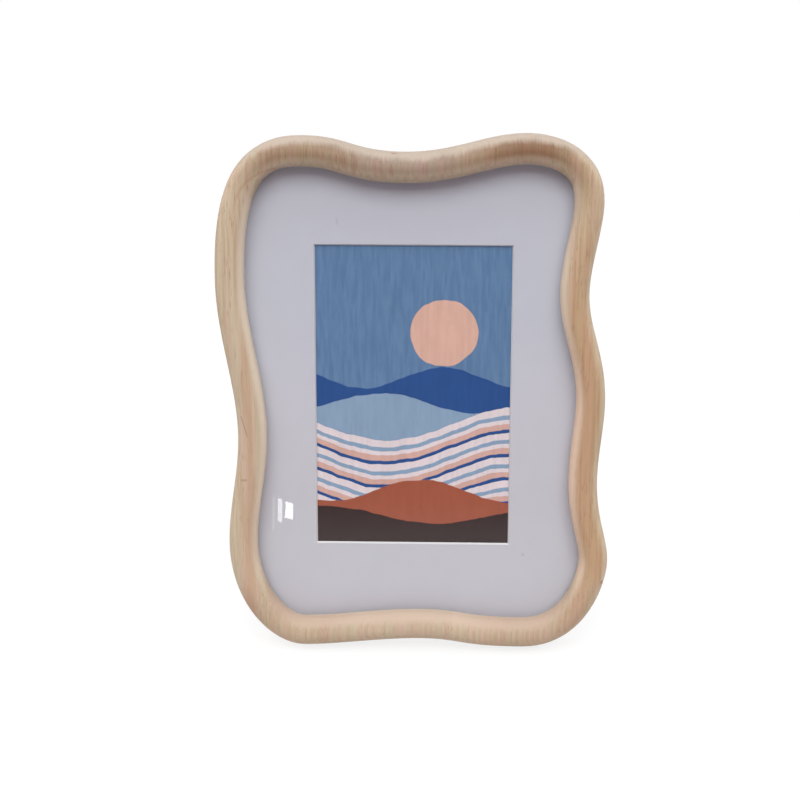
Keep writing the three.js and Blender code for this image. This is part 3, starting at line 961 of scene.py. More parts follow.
    def pores(self, board: NodeBoard, at: WoodPoint) -> Socket:
        """Draws short dark pore lines that gather in places.

        Args:
            board: The material's nodes.
            at: The point of the surface.

        Returns:
            Strength of the pores.
        """
        dashes = board.between(WoodNoise.PORES.at(board, at.grain), 0.58, 0.69)
        gather = board.between(WoodNoise.PORE_GROUPS.at(board, at.grain), 0.4, 0.62, 0.2, 1.0)
        return board.times(dashes, gather, at.along)

    def heart_band(self, board: NodeBoard, at: WoodPoint) -> Socket:
        """Draws the soft reddish band in the left stile's stave.

        Args:
            board: The material's nodes.
            at: The point of the surface.

        Returns:
            Share of the reddish colour.
        """
        line = board.scaled(WoodNoise.HEART_WANDER.at(board, at.place), 6.0, self.heart_line)
        half = board.between(at.up, -30.0, -60.0, 3.2, 5.0)
        band = board.between(board.size(board.less(at.across, line)), 0.3, half, 0.62, 0.0)
        return board.times(band, board.between(at.up, 60.0, 10.0))

    def growth_arc(self, board: NodeBoard, at: WoodPoint) -> Socket:
        """Draws the reddish growth line that bends from the left stile into the top rail.

        Args:
            board: The material's nodes.
            at: The point of the surface.

        Returns:
            Share of the reddish colour.
        """
        side = board.less(at.across, self.arc_middle[0])
        rise = board.maths("MAXIMUM", board.less(at.up, self.arc_middle[1]), 0.0)
        off = board.size(board.less(board.length(board.join(side, rise)), self.arc_radius))
        return board.times(board.between(off, 0.1, 1.0, 0.5, 0.0),
                           board.between(at.across, -56.0, -64.0),
                           board.between(at.up, 20.0, 60.0))

    def slope_tints(self, board: NodeBoard, at: WoodPoint, colour: Socket) -> Socket:
        """Tints the right stile, paints light onto the rails' upward-facing slopes over the end
        grain's tone, and paints a sheen onto the stiles' inner edges.

        Args:
            board: The material's nodes.
            at: The point of the surface.
            colour: The wood's colour.

        Returns:
            The tinted colour.
        """
        crest = board.between(board.size(at.outwards), 0.92, 0.3)
        blush = board.times(board.between(at.across, *self.right_stile),
                            board.between(at.up, 95.0, 40.0, 0.45, 1.0),
                            board.between(at.up, -105.0, -75.0, 0.35, 1.0))
        colour = board.mix(board.times(blush, crest), colour, self.blush, "MULTIPLY")
        # Painted light: where the rails face up, the top rail takes a darker, cooler colour with a
        # painted sheen and the bottom rail a lighter, lit colour.
        ends = board.mix(board.between(at.up, -60.0, 60.0), self.lit_bottom_slope, self.pale)
        colour = board.mix(board.between(at.rise, 0.25, 0.8, 0.0, 0.75), colour, ends)
        # Painted sheen: the stiles' inner edges take a paler colour that stands in for the mat's
        # light mirrored off the wood at a grazing angle.
        rim = board.times(board.between(at.outwards, -0.45, -0.97),
                          board.between(board.size(at.rise), 0.5, 0.15),
                          board.between(at.up, -75.0, -40.0, 0.75, 1.0))
        return board.mix(rim, colour, board.mix(blush, self.rim, self.right_rim_sheen))

    def rail_tints(self, board: NodeBoard, at: WoodPoint, colour: Socket) -> Socket:
        """Tints the bottom rail and the top rail's crest.

        Args:
            board: The material's nodes.
            at: The point of the surface.
            colour: The wood's colour.

        Returns:
            The tinted colour.
        """
        toe = board.maths("MAXIMUM", *(board.between(at.across, *toe) for toe in self.toes))
        foot = board.mix(toe, self.foot, self.toe)
        colour = board.mix(board.between(at.up, *self.bottom_rail), colour, foot, "MULTIPLY")
        off = board.size(board.less(at.across, self.dip_middle))
        crown = board.mix(board.between(off, 38.0, 12.0), self.crown, self.dip)
        crown = board.mix(board.between(at.across, *self.tan_crest), crown, self.tan)
        return board.mix(self.crest_band(board, at), colour, crown, "MULTIPLY")

    def crest_band(self, board: NodeBoard, at: WoodPoint) -> Socket:
        """Finds the top rail's crest, with a ragged edge where single fibres reach up.

        Args:
            board: The material's nodes.
            at: The point of the surface.

        Returns:
            Share of the crest's tint.
        """
        fringe = WoodNoise.CREST_FRINGE.at(board, at.place)
        patch = WoodNoise.CREST_PATCHES.at(board, at.place)
        edge = board.scaled(fringe, 0.4, board.scaled(patch, 0.5, at.outwards))
        edge = board.less(edge, board.between(at.across, 22.0, 48.0, 0.06, 0.10))
        ends = (board.between(at.across, *end, 0.2, 1.0) for end in self.crest_ends)
        return board.times(board.between(edge, 1.25, 0.75), *ends,
                           board.between(at.outwards, -0.8, -0.05),
                           board.between(board.slope(LEANING, 2), -0.2, 0.05),
                           board.between(at.up, *self.top_rail))

    def shade(self, board: NodeBoard, at: WoodPoint, fibres: Socket) -> Socket:
        """Shades the staves apart and draws the single fibres.

        Args:
            board: The material's nodes.
            at: The point of the surface.
            fibres: Noise of the fibres.

        Returns:
            The shade, about one.
        """
        stave = board.scaled(WoodNoise.STAVE_TINT.at(board, at.stave), 0.12, 0.94)
        contrast = board.scaled(at.along, 0.2, 0.05)
        return board.times(stave, board.scaled(board.less(fibres, 0.5), contrast, 1.0))


@dataclass(frozen=True)
class ClearPane(Finish):
    """Clear picture glass that lets the lamps through to the mat."""

    def paint(self, board: NodeBoard, shader: Node) -> None:
        """Builds the pane so that lamps and bounced light pass it.

        Args:
            board: The material's nodes.
            shader: Its shader.
        """
        shader.inputs["Base Color"].default_value = (0.985, 0.992, 0.99, 1.0)
        shader.inputs["Transmission Weight"].default_value = 1.0
        shader.inputs["IOR"].default_value = 1.3
        shader.inputs["Roughness"].default_value = 0.0
        rays = board.add("LightPath").outputs
        passing = board.maths("MAXIMUM", rays["Is Shadow Ray"], rays["Is Diffuse Ray"])
        board.show(board.either(passing, shader, board.add("BsdfTransparent")))


@dataclass(frozen=True)
class Paper(Finish):
    """Paper or pressed board, with fibres that its colour, roughness and relief follow.

    Attributes:
        seat: The seat that the piece lies on.
        fibre: Fibres per millimetre.
        tone: How much the fibres change the colour, and what is left of it without them.
        roughness: Roughness of the lowest and of the highest fibres.
        relief: How strongly their relief shows, and its depth in millimetres.
        gloss: Strength of the reflections.
    """

    seat: Seat = LEANING
    fibre: float = 1.2
    tone: Pair = (0.3, 0.85)
    roughness: Pair = (0.75, 0.9)
    relief: Pair = (0.4, 0.05)
    gloss: float = 0.5

    def colour(self, board: NodeBoard, place: Socket, tone: Socket) -> Socket:
        """Builds the colour; each kind has its own."""
        raise NotImplementedError

    def paint(self, board: NodeBoard, shader: Node) -> None:
        """Builds the fibres and what follows them.

        Args:
            board: The material's nodes.
            shader: Its shader.
        """
        place = board.seat_place(self.seat)
        tooth = board.use(EFFECTS.paper_tooth, Place=place, Fibre=self.fibre).outputs
        colour = self.colour(board, place, board.scaled(tooth["Tone"], *self.tone))
        rough = board.between(tooth["Tone"], 0.3, 0.7, *self.roughness)
        board.coat(shader, colour, rough, board.bump(tooth["Relief"], *self.relief))
        shader.inputs["Specular IOR Level"].default_value = self.gloss


@dataclass(frozen=True)
class MatCard(Paper):
    """Lavender grey mat card with a white core that shows at the bevelled window.

    Attributes:
        face: Colour of the paper face.
        low_tone: Its colour low down, a little pinker and darker.
        core: Colour of the core.
        painted_reflection: Tint of its middle band, a painted reflection of the room in the pane.
        speck: Colour of its specks.
        marks: The specks.
    """

    fibre: float = 3.0
    tone: Pair = (0.12, 0.94)
    roughness: Pair = (0.86, 0.94)
    relief: Pair = (0.2, 0.05)
    face: Colour = (0.484, 0.478, 0.537)
    low_tone: Colour = (0.478, 0.463, 0.504)
    core: Colour = (0.625, 0.595, 0.600)
    # The middle tint is a painted reflection of the room in the pane, lightening a band across the
    # mat.
    painted_reflection: Colour = (1.050, 1.030, 1.015)
    speck: Colour = (0.170, 0.154, 0.176)
    marks: tuple[Mark, ...] = (
        Mark((-35.2, 80.2, 5.7), 0.9, 2.4, 0.0, 0.2, 0.14),
        Mark((51.0, -76.1, 5.7), 1.1, 0.0, 0.0, 0.2, 0.25),
    )

    def colour(self, board: NodeBoard, place: Socket, tone: Socket) -> Socket:
        """Builds the paper face and the core.

        Args:
            board: The material's nodes.
            place: Place on the frame.
            tone: Tone of the fibres.

        Returns:
            The colour.
        """
        up = board.parts(place)[1]
        face = board.mix(board.between(up, 30.0, -80.0), self.face, self.low_tone)
        # Painted reflection: a band about the middle of the mat is lightened.
        middle = board.between(board.size(board.less(up, -18.0)), 62.0, 15.0)
        face = board.tinted(board.mix(middle, face, self.painted_reflection, "MULTIPLY"), tone)
        for mark in self.marks:
            face = board.mix(mark.mask(board, place), face, self.speck)
        cut = board.between(board.size(board.slope(LEANING, 2)), 0.8, 0.95, 1.0, 0.0)
        return board.mix(cut, face, self.core)


@dataclass(frozen=True)
class Ridge:
    """A wavy line across the print, with one paint or stripes below it.

    Attributes:
        level: Its mean height from the print's middle, in millimetres.
        swing: Height of its waves.
        pace: Turn of its waves per millimetre.
        start: Turn of its waves at the middle.
        paint: Colour below it, or nothing for stripes.
    """

    level: float
    swing: float
    pace: float
    start: float
    paint: Union[Colour, None] = None

    def drop(self, board: NodeBoard, across: Socket, up: Socket) -> Socket:
        """Measures how far a place lies below the line, in millimetres."""
        wave = board.maths("SINE", board.scaled(across, self.pace, self.start))
        return board.less(board.scaled(wave, self.swing, self.level), up)


@dataclass(frozen=True)
class LandscapePrint(Paper):
    """A painted landscape of bands: a low sun over blue ridges, a striped hill and bare earth.

    Attributes:
        middle: Middle of the print on its seat, in millimetres.
        waver: How far the brush wavers across and up.
        sky: Two blues of the brushed ground.
        sun: Colour of the sun.
        sun_middle: Middle of the sun, from the print's middle.
        sun_radius: Radius of the sun.
        deep: Deep blue of the far ridge.
        haze: Pale blue of the near ridge.
        cream: Pale stripe.
        rose: Pink stripe.
        clay: Red earth.
        umber: Dark earth.
        ridges: The ridge lines from the far one down.
        stripe_pitch: Distance at which the hill's stripes repeat.
        stripe_starts: Where each stripe after the first starts, and its colour.
    """

    fibre: float = 2.2
    roughness: Pair = (0.5, 0.6)
    relief: Pair = (0.15, 0.03)
    gloss: float = 0.05
    middle: Pair = (-0.8, -0.8)
    waver: Pair = (2.0, 2.4)
    sky: tuple[Colour, Colour] = ((0.095, 0.174, 0.318), (0.115, 0.204, 0.342))
    sun: Colour = (0.636, 0.381, 0.303)
    sun_middle: Pair = (14.0, 30.0)
    sun_radius: float = 15.5
    deep: Colour = (0.019, 0.068, 0.230)
    haze: Colour = (0.228, 0.318, 0.440)
    cream: Colour = (0.679, 0.579, 0.596)
    rose: Colour = (0.594, 0.357, 0.303)
    clay: Colour = (0.318, 0.082, 0.044)
    umber: Colour = (0.032, 0.015, 0.014)
    ridges: tuple[Ridge, ...] = (
        Ridge(9.0, 5.0, 0.085, 0.4, deep),
        Ridge(-3.0, 4.5, 0.07, 2.6, haze),
        Ridge(-13.0, 8.0, 0.052, -0.9),
        Ridge(-45.0, 5.5, 0.075, 1.3, clay),
        Ridge(-57.0, 4.0, 0.06, -2.2, umber),
    )
    stripe_pitch: float = 11.5
    stripe_starts: tuple[tuple[float, Colour], ...] = (
        (0.28, haze), (0.45, cream), (0.62, rose), (0.85, deep))

    def colour(self, board: NodeBoard, place: Socket, tone: Socket) -> Socket:
        """Builds the picture from the sky down, with brushed edges.

        Args:
            board: The material's nodes.
            place: Place on the frame.
            tone: Tone of the fibres.

        Returns:
            The colour.
        """
        across, up = self.brushed_place(board, place)
        brush = board.between(board.noise(place, (0.5, 0.06, 0.2), 5.0, 0.62), 0.3, 0.72)
        picture = board.mix(brush, *self.sky)
        off = board.length(board.join(board.less(across, self.sun_middle[0]),
                                      board.less(up, self.sun_middle[1])))
        disc = board.between(off, self.sun_radius - 0.2, self.sun_radius + 0.2, 1.0, 0.0)
        picture = board.mix(disc, picture, self.sun)
        for ridge in self.ridges:
            drop = ridge.drop(board, across, up)
            paint = ridge.paint or self.stripes(board, drop)
            picture = board.mix(board.between(drop, -0.15, 0.15), picture, paint)
        return board.tinted(board.tinted(picture, board.scaled(brush, 0.10, 0.95)), tone)

    def brushed_place(self, board: NodeBoard, place: Socket) -> Iterator[Socket]:
        """Gives the place on the print with the waver of a brush.

        Args:
            board: The material's nodes.
            place: Place on the frame.

        Yields:
            Place across and up from the print's middle.
        """
        scales = ((0.09, 0.09, 0.09), (0.12, 0.08, 0.08))
        rows = zip(board.parts(place), scales, self.waver, self.middle)
        for part, scale, waver, middle in rows:
            shift = board.scaled(board.noise(place, scale), waver, -middle - waver / 2)
            yield board.maths("ADD", part, shift)

    def stripes(self, board: NodeBoard, drop: Socket) -> Socket:
        """Draws the hill's stripes along its ridge line.

        Args:
            board: The material's nodes.
            drop: Drop below the ridge line.

        Returns:
            The striped colour.
        """
        phase = board.maths("FRACT", board.maths("DIVIDE", drop, self.stripe_pitch))
        colour: Feed = self.cream
        for start, paint in self.stripe_starts:
            colour = board.mix(board.between(phase, start, start + 0.02), colour, paint)
        return colour


@dataclass(frozen=True)
class GummedTape(Paper):
    """Cream gummed paper tape.

    Attributes:
        paper: Its colour.
    """

    paper: Colour = (0.740, 0.660, 0.500)

    def colour(self, board: NodeBoard, place: Socket, tone: Socket) -> Socket:
        """Builds the crinkled paper."""
        return board.tinted(self.paper, tone)


@dataclass(frozen=True)
class Fibreboard(Paper):
    """Brown pressed fibreboard with scattered fibres.

    Attributes:
        ground: Mean colour.
        dark_fibre: Colour of the dark fibres.
        pale_fibre: Colour of the pale fibres.
        cover: How far a scattered fibre covers the ground.
    """

    fibre: float = 1.6
    tone: Pair = (0.7, 0.65)
    roughness: Pair = (0.62, 0.82)
    relief: Pair = (0.4, 0.08)
    ground: Colour = (0.300, 0.185, 0.100)
    dark_fibre: Colour = (0.150, 0.085, 0.045)
    pale_fibre: Colour = (0.440, 0.310, 0.190)
    cover: float = 0.6

    def colour(self, board: NodeBoard, place: Socket, tone: Socket) -> Socket:
        """Builds the felted fibres.

        Args:
            board: The material's nodes.
            place: Place on the seat.
            tone: Tone of the fibres.

        Returns:
            The colour.
        """
        dark = board.between(board.noise(place, (1.8, 0.5, 1.8), 3.0, 0.65), 0.58, 0.72)
        pale = board.between(board.noise(place, (0.6, 2.1, 1.8), 3.0, 0.65), 0.6, 0.74)
        colour = board.tinted(self.ground, tone)
        colour = board.mix(board.times(dark, self.cover), colour, self.dark_fibre)
        return board.mix(board.times(pale, self.cover), colour, self.pale_fibre)


@dataclass(frozen=True)
class PlatedSteel(Finish):
    """Plated steel with the smears and scratches of handling.

    Attributes:
        plating: Colour of the clean plating.
        dulled: Colour where it is smeared.
        polish: Roughness of the clean plating.
    """

    plating: Colour
    dulled: Colour
    polish: float

    def paint(self, board: NodeBoard, shader: Node) -> None:
        """Builds the plating.

        Args:
            board: The material's nodes.
            shader: Its shader.
        """
        wear = board.use(EFFECTS.handling_wear, Place=board.seat_place(LEANING)).outputs
        colour = board.mix(wear["Smear"], self.plating, self.dulled)
        rough = board.scaled(wear["Smear"], 0.16, self.polish)
        rough = board.scaled(wear["Scratch"], 0.15, rough)
        board.coat(shader, colour, rough, board.bump(wear["Relief"], 0.25, 0.02))
        shader.inputs["Metallic"].default_value = 1.0


PALE_WOOD = BareWood("PaleBareWood", "pale_wood")
CLEAR_GLASS = ClearPane("PictureGlass", "clear_glass")
LAVENDER_MAT = MatCard("LavenderMat", "mat_card")
BAND_PRINT = LandscapePrint("LandscapePrint", "print_paper")
CREAM_TAPE = GummedTape("CreamTape", "paper_tape")
BACK_FIBRE = Fibreboard("BackBoardFibre", "fibreboard")
STRUT_FIBRE = Fibreboard("StrutFibre", "fibreboard", STRUT_SEAT)
ZINC = PlatedSteel("ZincPlate", "zinc_steel", (0.610, 0.620, 0.630), (0.480, 0.490, 0.500), 0.30)
BRASS = PlatedSteel("BrassPlate", "brassed_steel", (0.720, 0.540, 0.260), (0.560, 0.410, 0.200),
                    0.26)


def fit(piece: Piece, name: str, body: str, finish: Finish, node: str) -> None:
    """Names and dresses a finished piece and fits it to its body in place of its node.

    Args:
        piece: The mesh object, in place.
        name: The piece's name.
        body: The body that it rides on.
        finish: Its finish.
        node: The CAD node that it stands for.
    """
    piece.name = name
    piece.data.name = name
    finish.dress(piece)
    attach(piece, body)
    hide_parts(node)
    LOG.info("%s on %s, %d faces", name, body, len(piece.data.polygons))


class Heading(Enum):
    """Direction of the outline at one of its extremes, clockwise from the front."""

    ALONG_TOP = (1.0, 0.0)
    DOWN_RIGHT = (0.0, -1.0)
    ALONG_BOTTOM = (-1.0, 0.0)
    UP_LEFT = (0.0, 1.0)


@dataclass(frozen=True)
class Extreme:
    """A highest, lowest or outermost point of a wave in the outline.

    Attributes:
        x: Place across, in millimetres.
        y: Place up, in millimetres.
        heading: Direction of the outline there.
        before: Length of the handle before it.
        after: Length of the handle after it.
    """

    x: float
    y: float
    heading: Heading
    before: float
    after: float

    def station(self) -> Station:
        """Gives the extreme as a point of the outline's curve."""
        way = Vector(self.heading.value)
        return Station((self.x, self.y), tuple(way * -self.before), tuple(way * self.after))


@dataclass
class Moulding:
    """The wavy wooden ring with a half-round front and a rebate behind its lip.

    Attributes:
        half_width: Half of the frame's width, in millimetres.
        half_height: Half of the frame's height.
        width: Width of the moulding.
        rebate: Width of the part behind which there is no rebate.
        lip_back: Height of the lip's back above the frame's back.
        shoulder: Height where the round front starts.
        back_radius: Rounding of the outer back edge.
        lip_radius: Rounding of the lip's inner back edge.
        lip_handle: Handle of that rounding for a radius of one.
        outline_steps: Faces between two extremes.
        section_steps: Faces between two points of the section.
        crisp: Angle above which an edge stays crisp, in degrees.
    """

    half_width: float = 90.0
    half_height: float = 119.5
    width: float = 13.0
    rebate: float = 9.0
    lip_back: float = 8.3
    shoulder: float = 11.8
    back_radius: float = 2.0
    lip_radius: float = 0.5
    lip_handle: float = 0.55
    outline_steps: int = 22
    section_steps: int = 9
    crisp: float = 40.0

    def outline(self) -> list[Extreme]:
        """Lists the outline's extremes, clockwise from the front.

        Returns:
            The extremes in order.
        """
        left, right = -self.half_width, self.half_width
        bottom, top = -self.half_height, self.half_height
        over, down, under, rise = Heading
        return [
            Extreme(left + 38.3, top - 1.4, over, 29.5, 22.0),
            Extreme(-4.4, top - 8.5, over, 24.5, 23.0),
            Extreme(right - 40.0, top, over, 19.0, 9.0),
            Extreme(right - 6.2, top - 29.7, down, 26.0, 11.5),
            Extreme(right - 11.7, top - 70.4, down, 13.0, 16.0),
            Extreme(right - 3.2, -1.0, down, 22.0, 11.5),
            Extreme(right - 5.8, bottom + 81.7, down, 13.0, 18.5),
            Extreme(right, bottom + 43.0, down, 10.5, 12.5),
            Extreme(right - 39.4, bottom, under, 29.5, 31.0),
            Extreme(2.5, bottom + 3.6, under, 21.0, 17.5),
            Extreme(left + 38.5, bottom, under, 15.5, 16.0),
            Extreme(left + 3.8, bottom + 49.7, rise, 29.5, 18.5),
            Extreme(left + 8.9, -17.7, rise, 19.0, 23.5),
            Extreme(left, top - 64.5, rise, 26.5, 39.0),
        ]

    def section(self) -> list[Station]:
        """Lists the points of the moulding's section, inwards along x.

        Returns:
            The points in order.
        """
        half, lip, edge = self.width / 2, self.lip_radius, self.back_radius
        front, inner, outer = QUARTER * half, self.lip_handle * lip, QUARTER * edge
        return [
            Station((self.rebate, 0.0)),
            Station((self.rebate, self.lip_back)),
            Station((self.width - lip, self.lip_back), after=(inner, 0.0)),
            Station((self.width, self.lip_back + lip), before=(0.0, -inner)),
            Station((self.width, self.shoulder), after=(0.0, front)),
            Station((half, self.shoulder + half), (front, 0.0), (-front, 0.0)),
            Station((0.0, self.shoulder), before=(0.0, front)),
            Station((0.0, edge), after=(0.0, -outer)),
            Station((edge, 0.0), before=(-outer, 0.0)),
        ]

    def build(self) -> None:
        """Sweeps the section round the outline and fits the ring."""
        stations = [extreme.station() for extreme in self.outline()]
        ring = closed_curve(self.half_width, stations, self.outline_steps)
        section = closed_curve(self.width / 2, self.section(), self.section_steps)
        section.data.dimensions = "2D"
        section.data.fill_mode = "NONE"
        ring.data.bevel_mode = "OBJECT"
        ring.data.bevel_object = section
        curve_to_mesh(ring)
        bpy.data.objects.remove(section)
        clean(ring, self.crisp)
        settle(ring, LEANING)
        fit(ring, "moulding_ring", "frame", PALE_WOOD, "frame_moulding")


@dataclass
class Picture:
    """The pane, mat, print, tape and backing board, whose CAD shapes stay.

    Attributes:
        layers: Their nodes and finishes, from the front to the back.
    """

    layers: tuple[tuple[str, Finish], ...] = (
        ("glass_pane", CLEAR_GLASS),
        ("mat_board", LAVENDER_MAT),
        ("photo_print", BAND_PRINT),
        ("print_tape_left", CREAM_TAPE),
        ("print_tape_right", CREAM_TAPE),
        ("back_board", BACK_FIBRE),
    )

    def build(self) -> None:
        """Dresses the layers."""
        for node, finish in self.layers:
            finish.dress(frame["nodes"][node])
            LOG.info("%s dressed as %s", node, finish.name)


@dataclass
class HeadedPin:
    """A pin with a domed head at the back, such as a screw; the default is a rivet.

    Attributes:
        seat: How far the head's underside stands behind its seat's plane, in millimetres.
        reach: Where the shank ends in front of that plane.
        head_radius: Radius of the head.
        head_height: Height of the head.
        dome: Rounding of the head's rim.
        shank_radius: Radius of the shank.
        point: Length of the shank's pointed end.
        tip: Share of the shank's width that is left at the point.
    """

    seat: float
    reach: float
    head_radius: float = 2.2
    head_height: float = 1.0
    dome: float = 0.8
    shank_radius: float = 1.1
    point: float = 0.0
    tip: float = 0.1

    def build(self) -> Piece:
        """Models the pin along z with its head to the back.

        Returns:
            The mesh object, not yet placed.
        """
        back = -self.seat - self.head_height
        pin = add_round(self.head_radius, back, -self.seat, Along.THROUGH)
        round_edges(pin, lambda at, way: at.z < back + NEAR, self.dome, steps=7)
        with edit_mode(pin):
            pick(pin, Pick.FACES, lambda at, normal: normal.z > PARALLEL)
            bpy.ops.mesh.inset(thickness=(self.head_radius - self.shank_radius) * MM)
            draw_out(self.reach + self.seat - self.point)
            if self.point:
                draw_out(self.point)
                bpy.ops.transform.resize(value=(self.tip, self.tip, 1.0),
                                         center_override=(0.0, 0.0, self.reach * MM))
        return pin


@dataclass
class TurnButtons:
    """Six turn buttons that hold the board in the rebate, each on a screw.

    Attributes:
        length: From the pivot to the middle of the tip, in millimetres.
        pivot_radius: Radius of the pivot end.
        tip_radius: Radius of the tip.
        front: Distance of the button's front behind the frame's back.
        thickness: Thickness of the sheet.
        hole: Radius of the hole for the screw.
        rim: Width of the broken rim.
        sides: Corners of a round rim.
        head_height: Height of a screw's head.
        recess: Half length and half width of its cross recess.
        recess_depth: Depth of that recess.
        places: Names of the six places.
        screw_turns: Turn of the first screw, and from each to the next, in degrees.
    """

    length: float = 14.0
    pivot_radius: float = 4.5
    tip_radius: float = 3.5
    front: float = CLEARANCE
    thickness: float = 1.2
    hole: float = 1.5
    rim: float = 0.22
    sides: int = 64
    head_height: float = 1.6
    recess: Pair = (1.9, 0.36)
    recess_depth: float = 0.75
    places: tuple[str, ...] = ("left_upper", "left_middle", "left_lower",
                               "right_upper", "right_middle", "right_lower")
    screw_turns: Pair = (11.0, 37.0)

    def button(self) -> Piece:
        """Models a button that points along x from its pivot.

        Returns:
            The mesh object, not yet placed.
        """
        clear_selection()
        bpy.ops.mesh.primitive_circle_add(vertices=self.sides, radius=self.pivot_radius * MM,
                                          location=ORIGIN)
        button = bpy.context.object
        tip, share = (self.length * MM, 0.0, 0.0), self.tip_radius / self.pivot_radius
        with edit_mode(button):
            pick(button, Pick.CORNERS, lambda at, normal: at.x > NEAR)
            bpy.ops.transform.translate(value=tip)
            bpy.ops.transform.resize(value=(share, share, 1.0), center_override=tip)
            bpy.ops.mesh.primitive_circle_add(vertices=self.sides, radius=self.hole * MM,
                                              location=ORIGIN)
            bpy.ops.mesh.select_all(action="SELECT")
            bpy.ops.mesh.bridge_edge_loops()
            bpy.ops.mesh.select_all(action="SELECT")
            back = -(self.front + self.thickness) * MM
            bpy.ops.transform.translate(value=(0.0, 0.0, back))
            draw_out(self.thickness)
        clean(button)
        soften(button, self.rim, steps=3, sharpness=50.0)
        return button

    def screw(self) -> Piece:
        """Models a domed screw with a cross recess.

        Returns:
            The mesh object, not yet placed.
        """
        seat = self.front + self.thickness + CLEARANCE
        screw = HeadedPin(seat, reach=8.0, head_radius=3.0, head_height=self.head_height,
                          dome=1.25, shank_radius=1.2, point=2.0).build()
        top = -seat - self.head_height
        for x, y in (self.recess, self.recess[::-1]):
            recess = add_slab((-x, -y, top - 1.0), (x, y, top + self.recess_depth))
            carve(screw, recess, Carve.CUT)
        clean(screw)
        return screw

    def build(self) -> None:
        """Copies the button and the screw to the six places and fits them."""
        button, screw = self.button(), self.screw()
        first, step = self.screw_turns
        for number, place in enumerate(self.places):
            seat = Seat(joint_place("turn_" + place), LEANING.tilt)
            turned = copy_of(button)
            settle(turned, seat, spin=0.0 if place.startswith("left") else 180.0)
            fit(turned, "button_" + place, "button_" + place, ZINC, "turn_button_" + place)
            driven = copy_of(screw)
            settle(driven, seat, spin=first + step * number)
            fit(driven, "button_screw_" + place, "frame", BRASS, "turn_button_screw_" + place)
        bpy.data.objects.remove(button)
        bpy.data.objects.remove(screw)


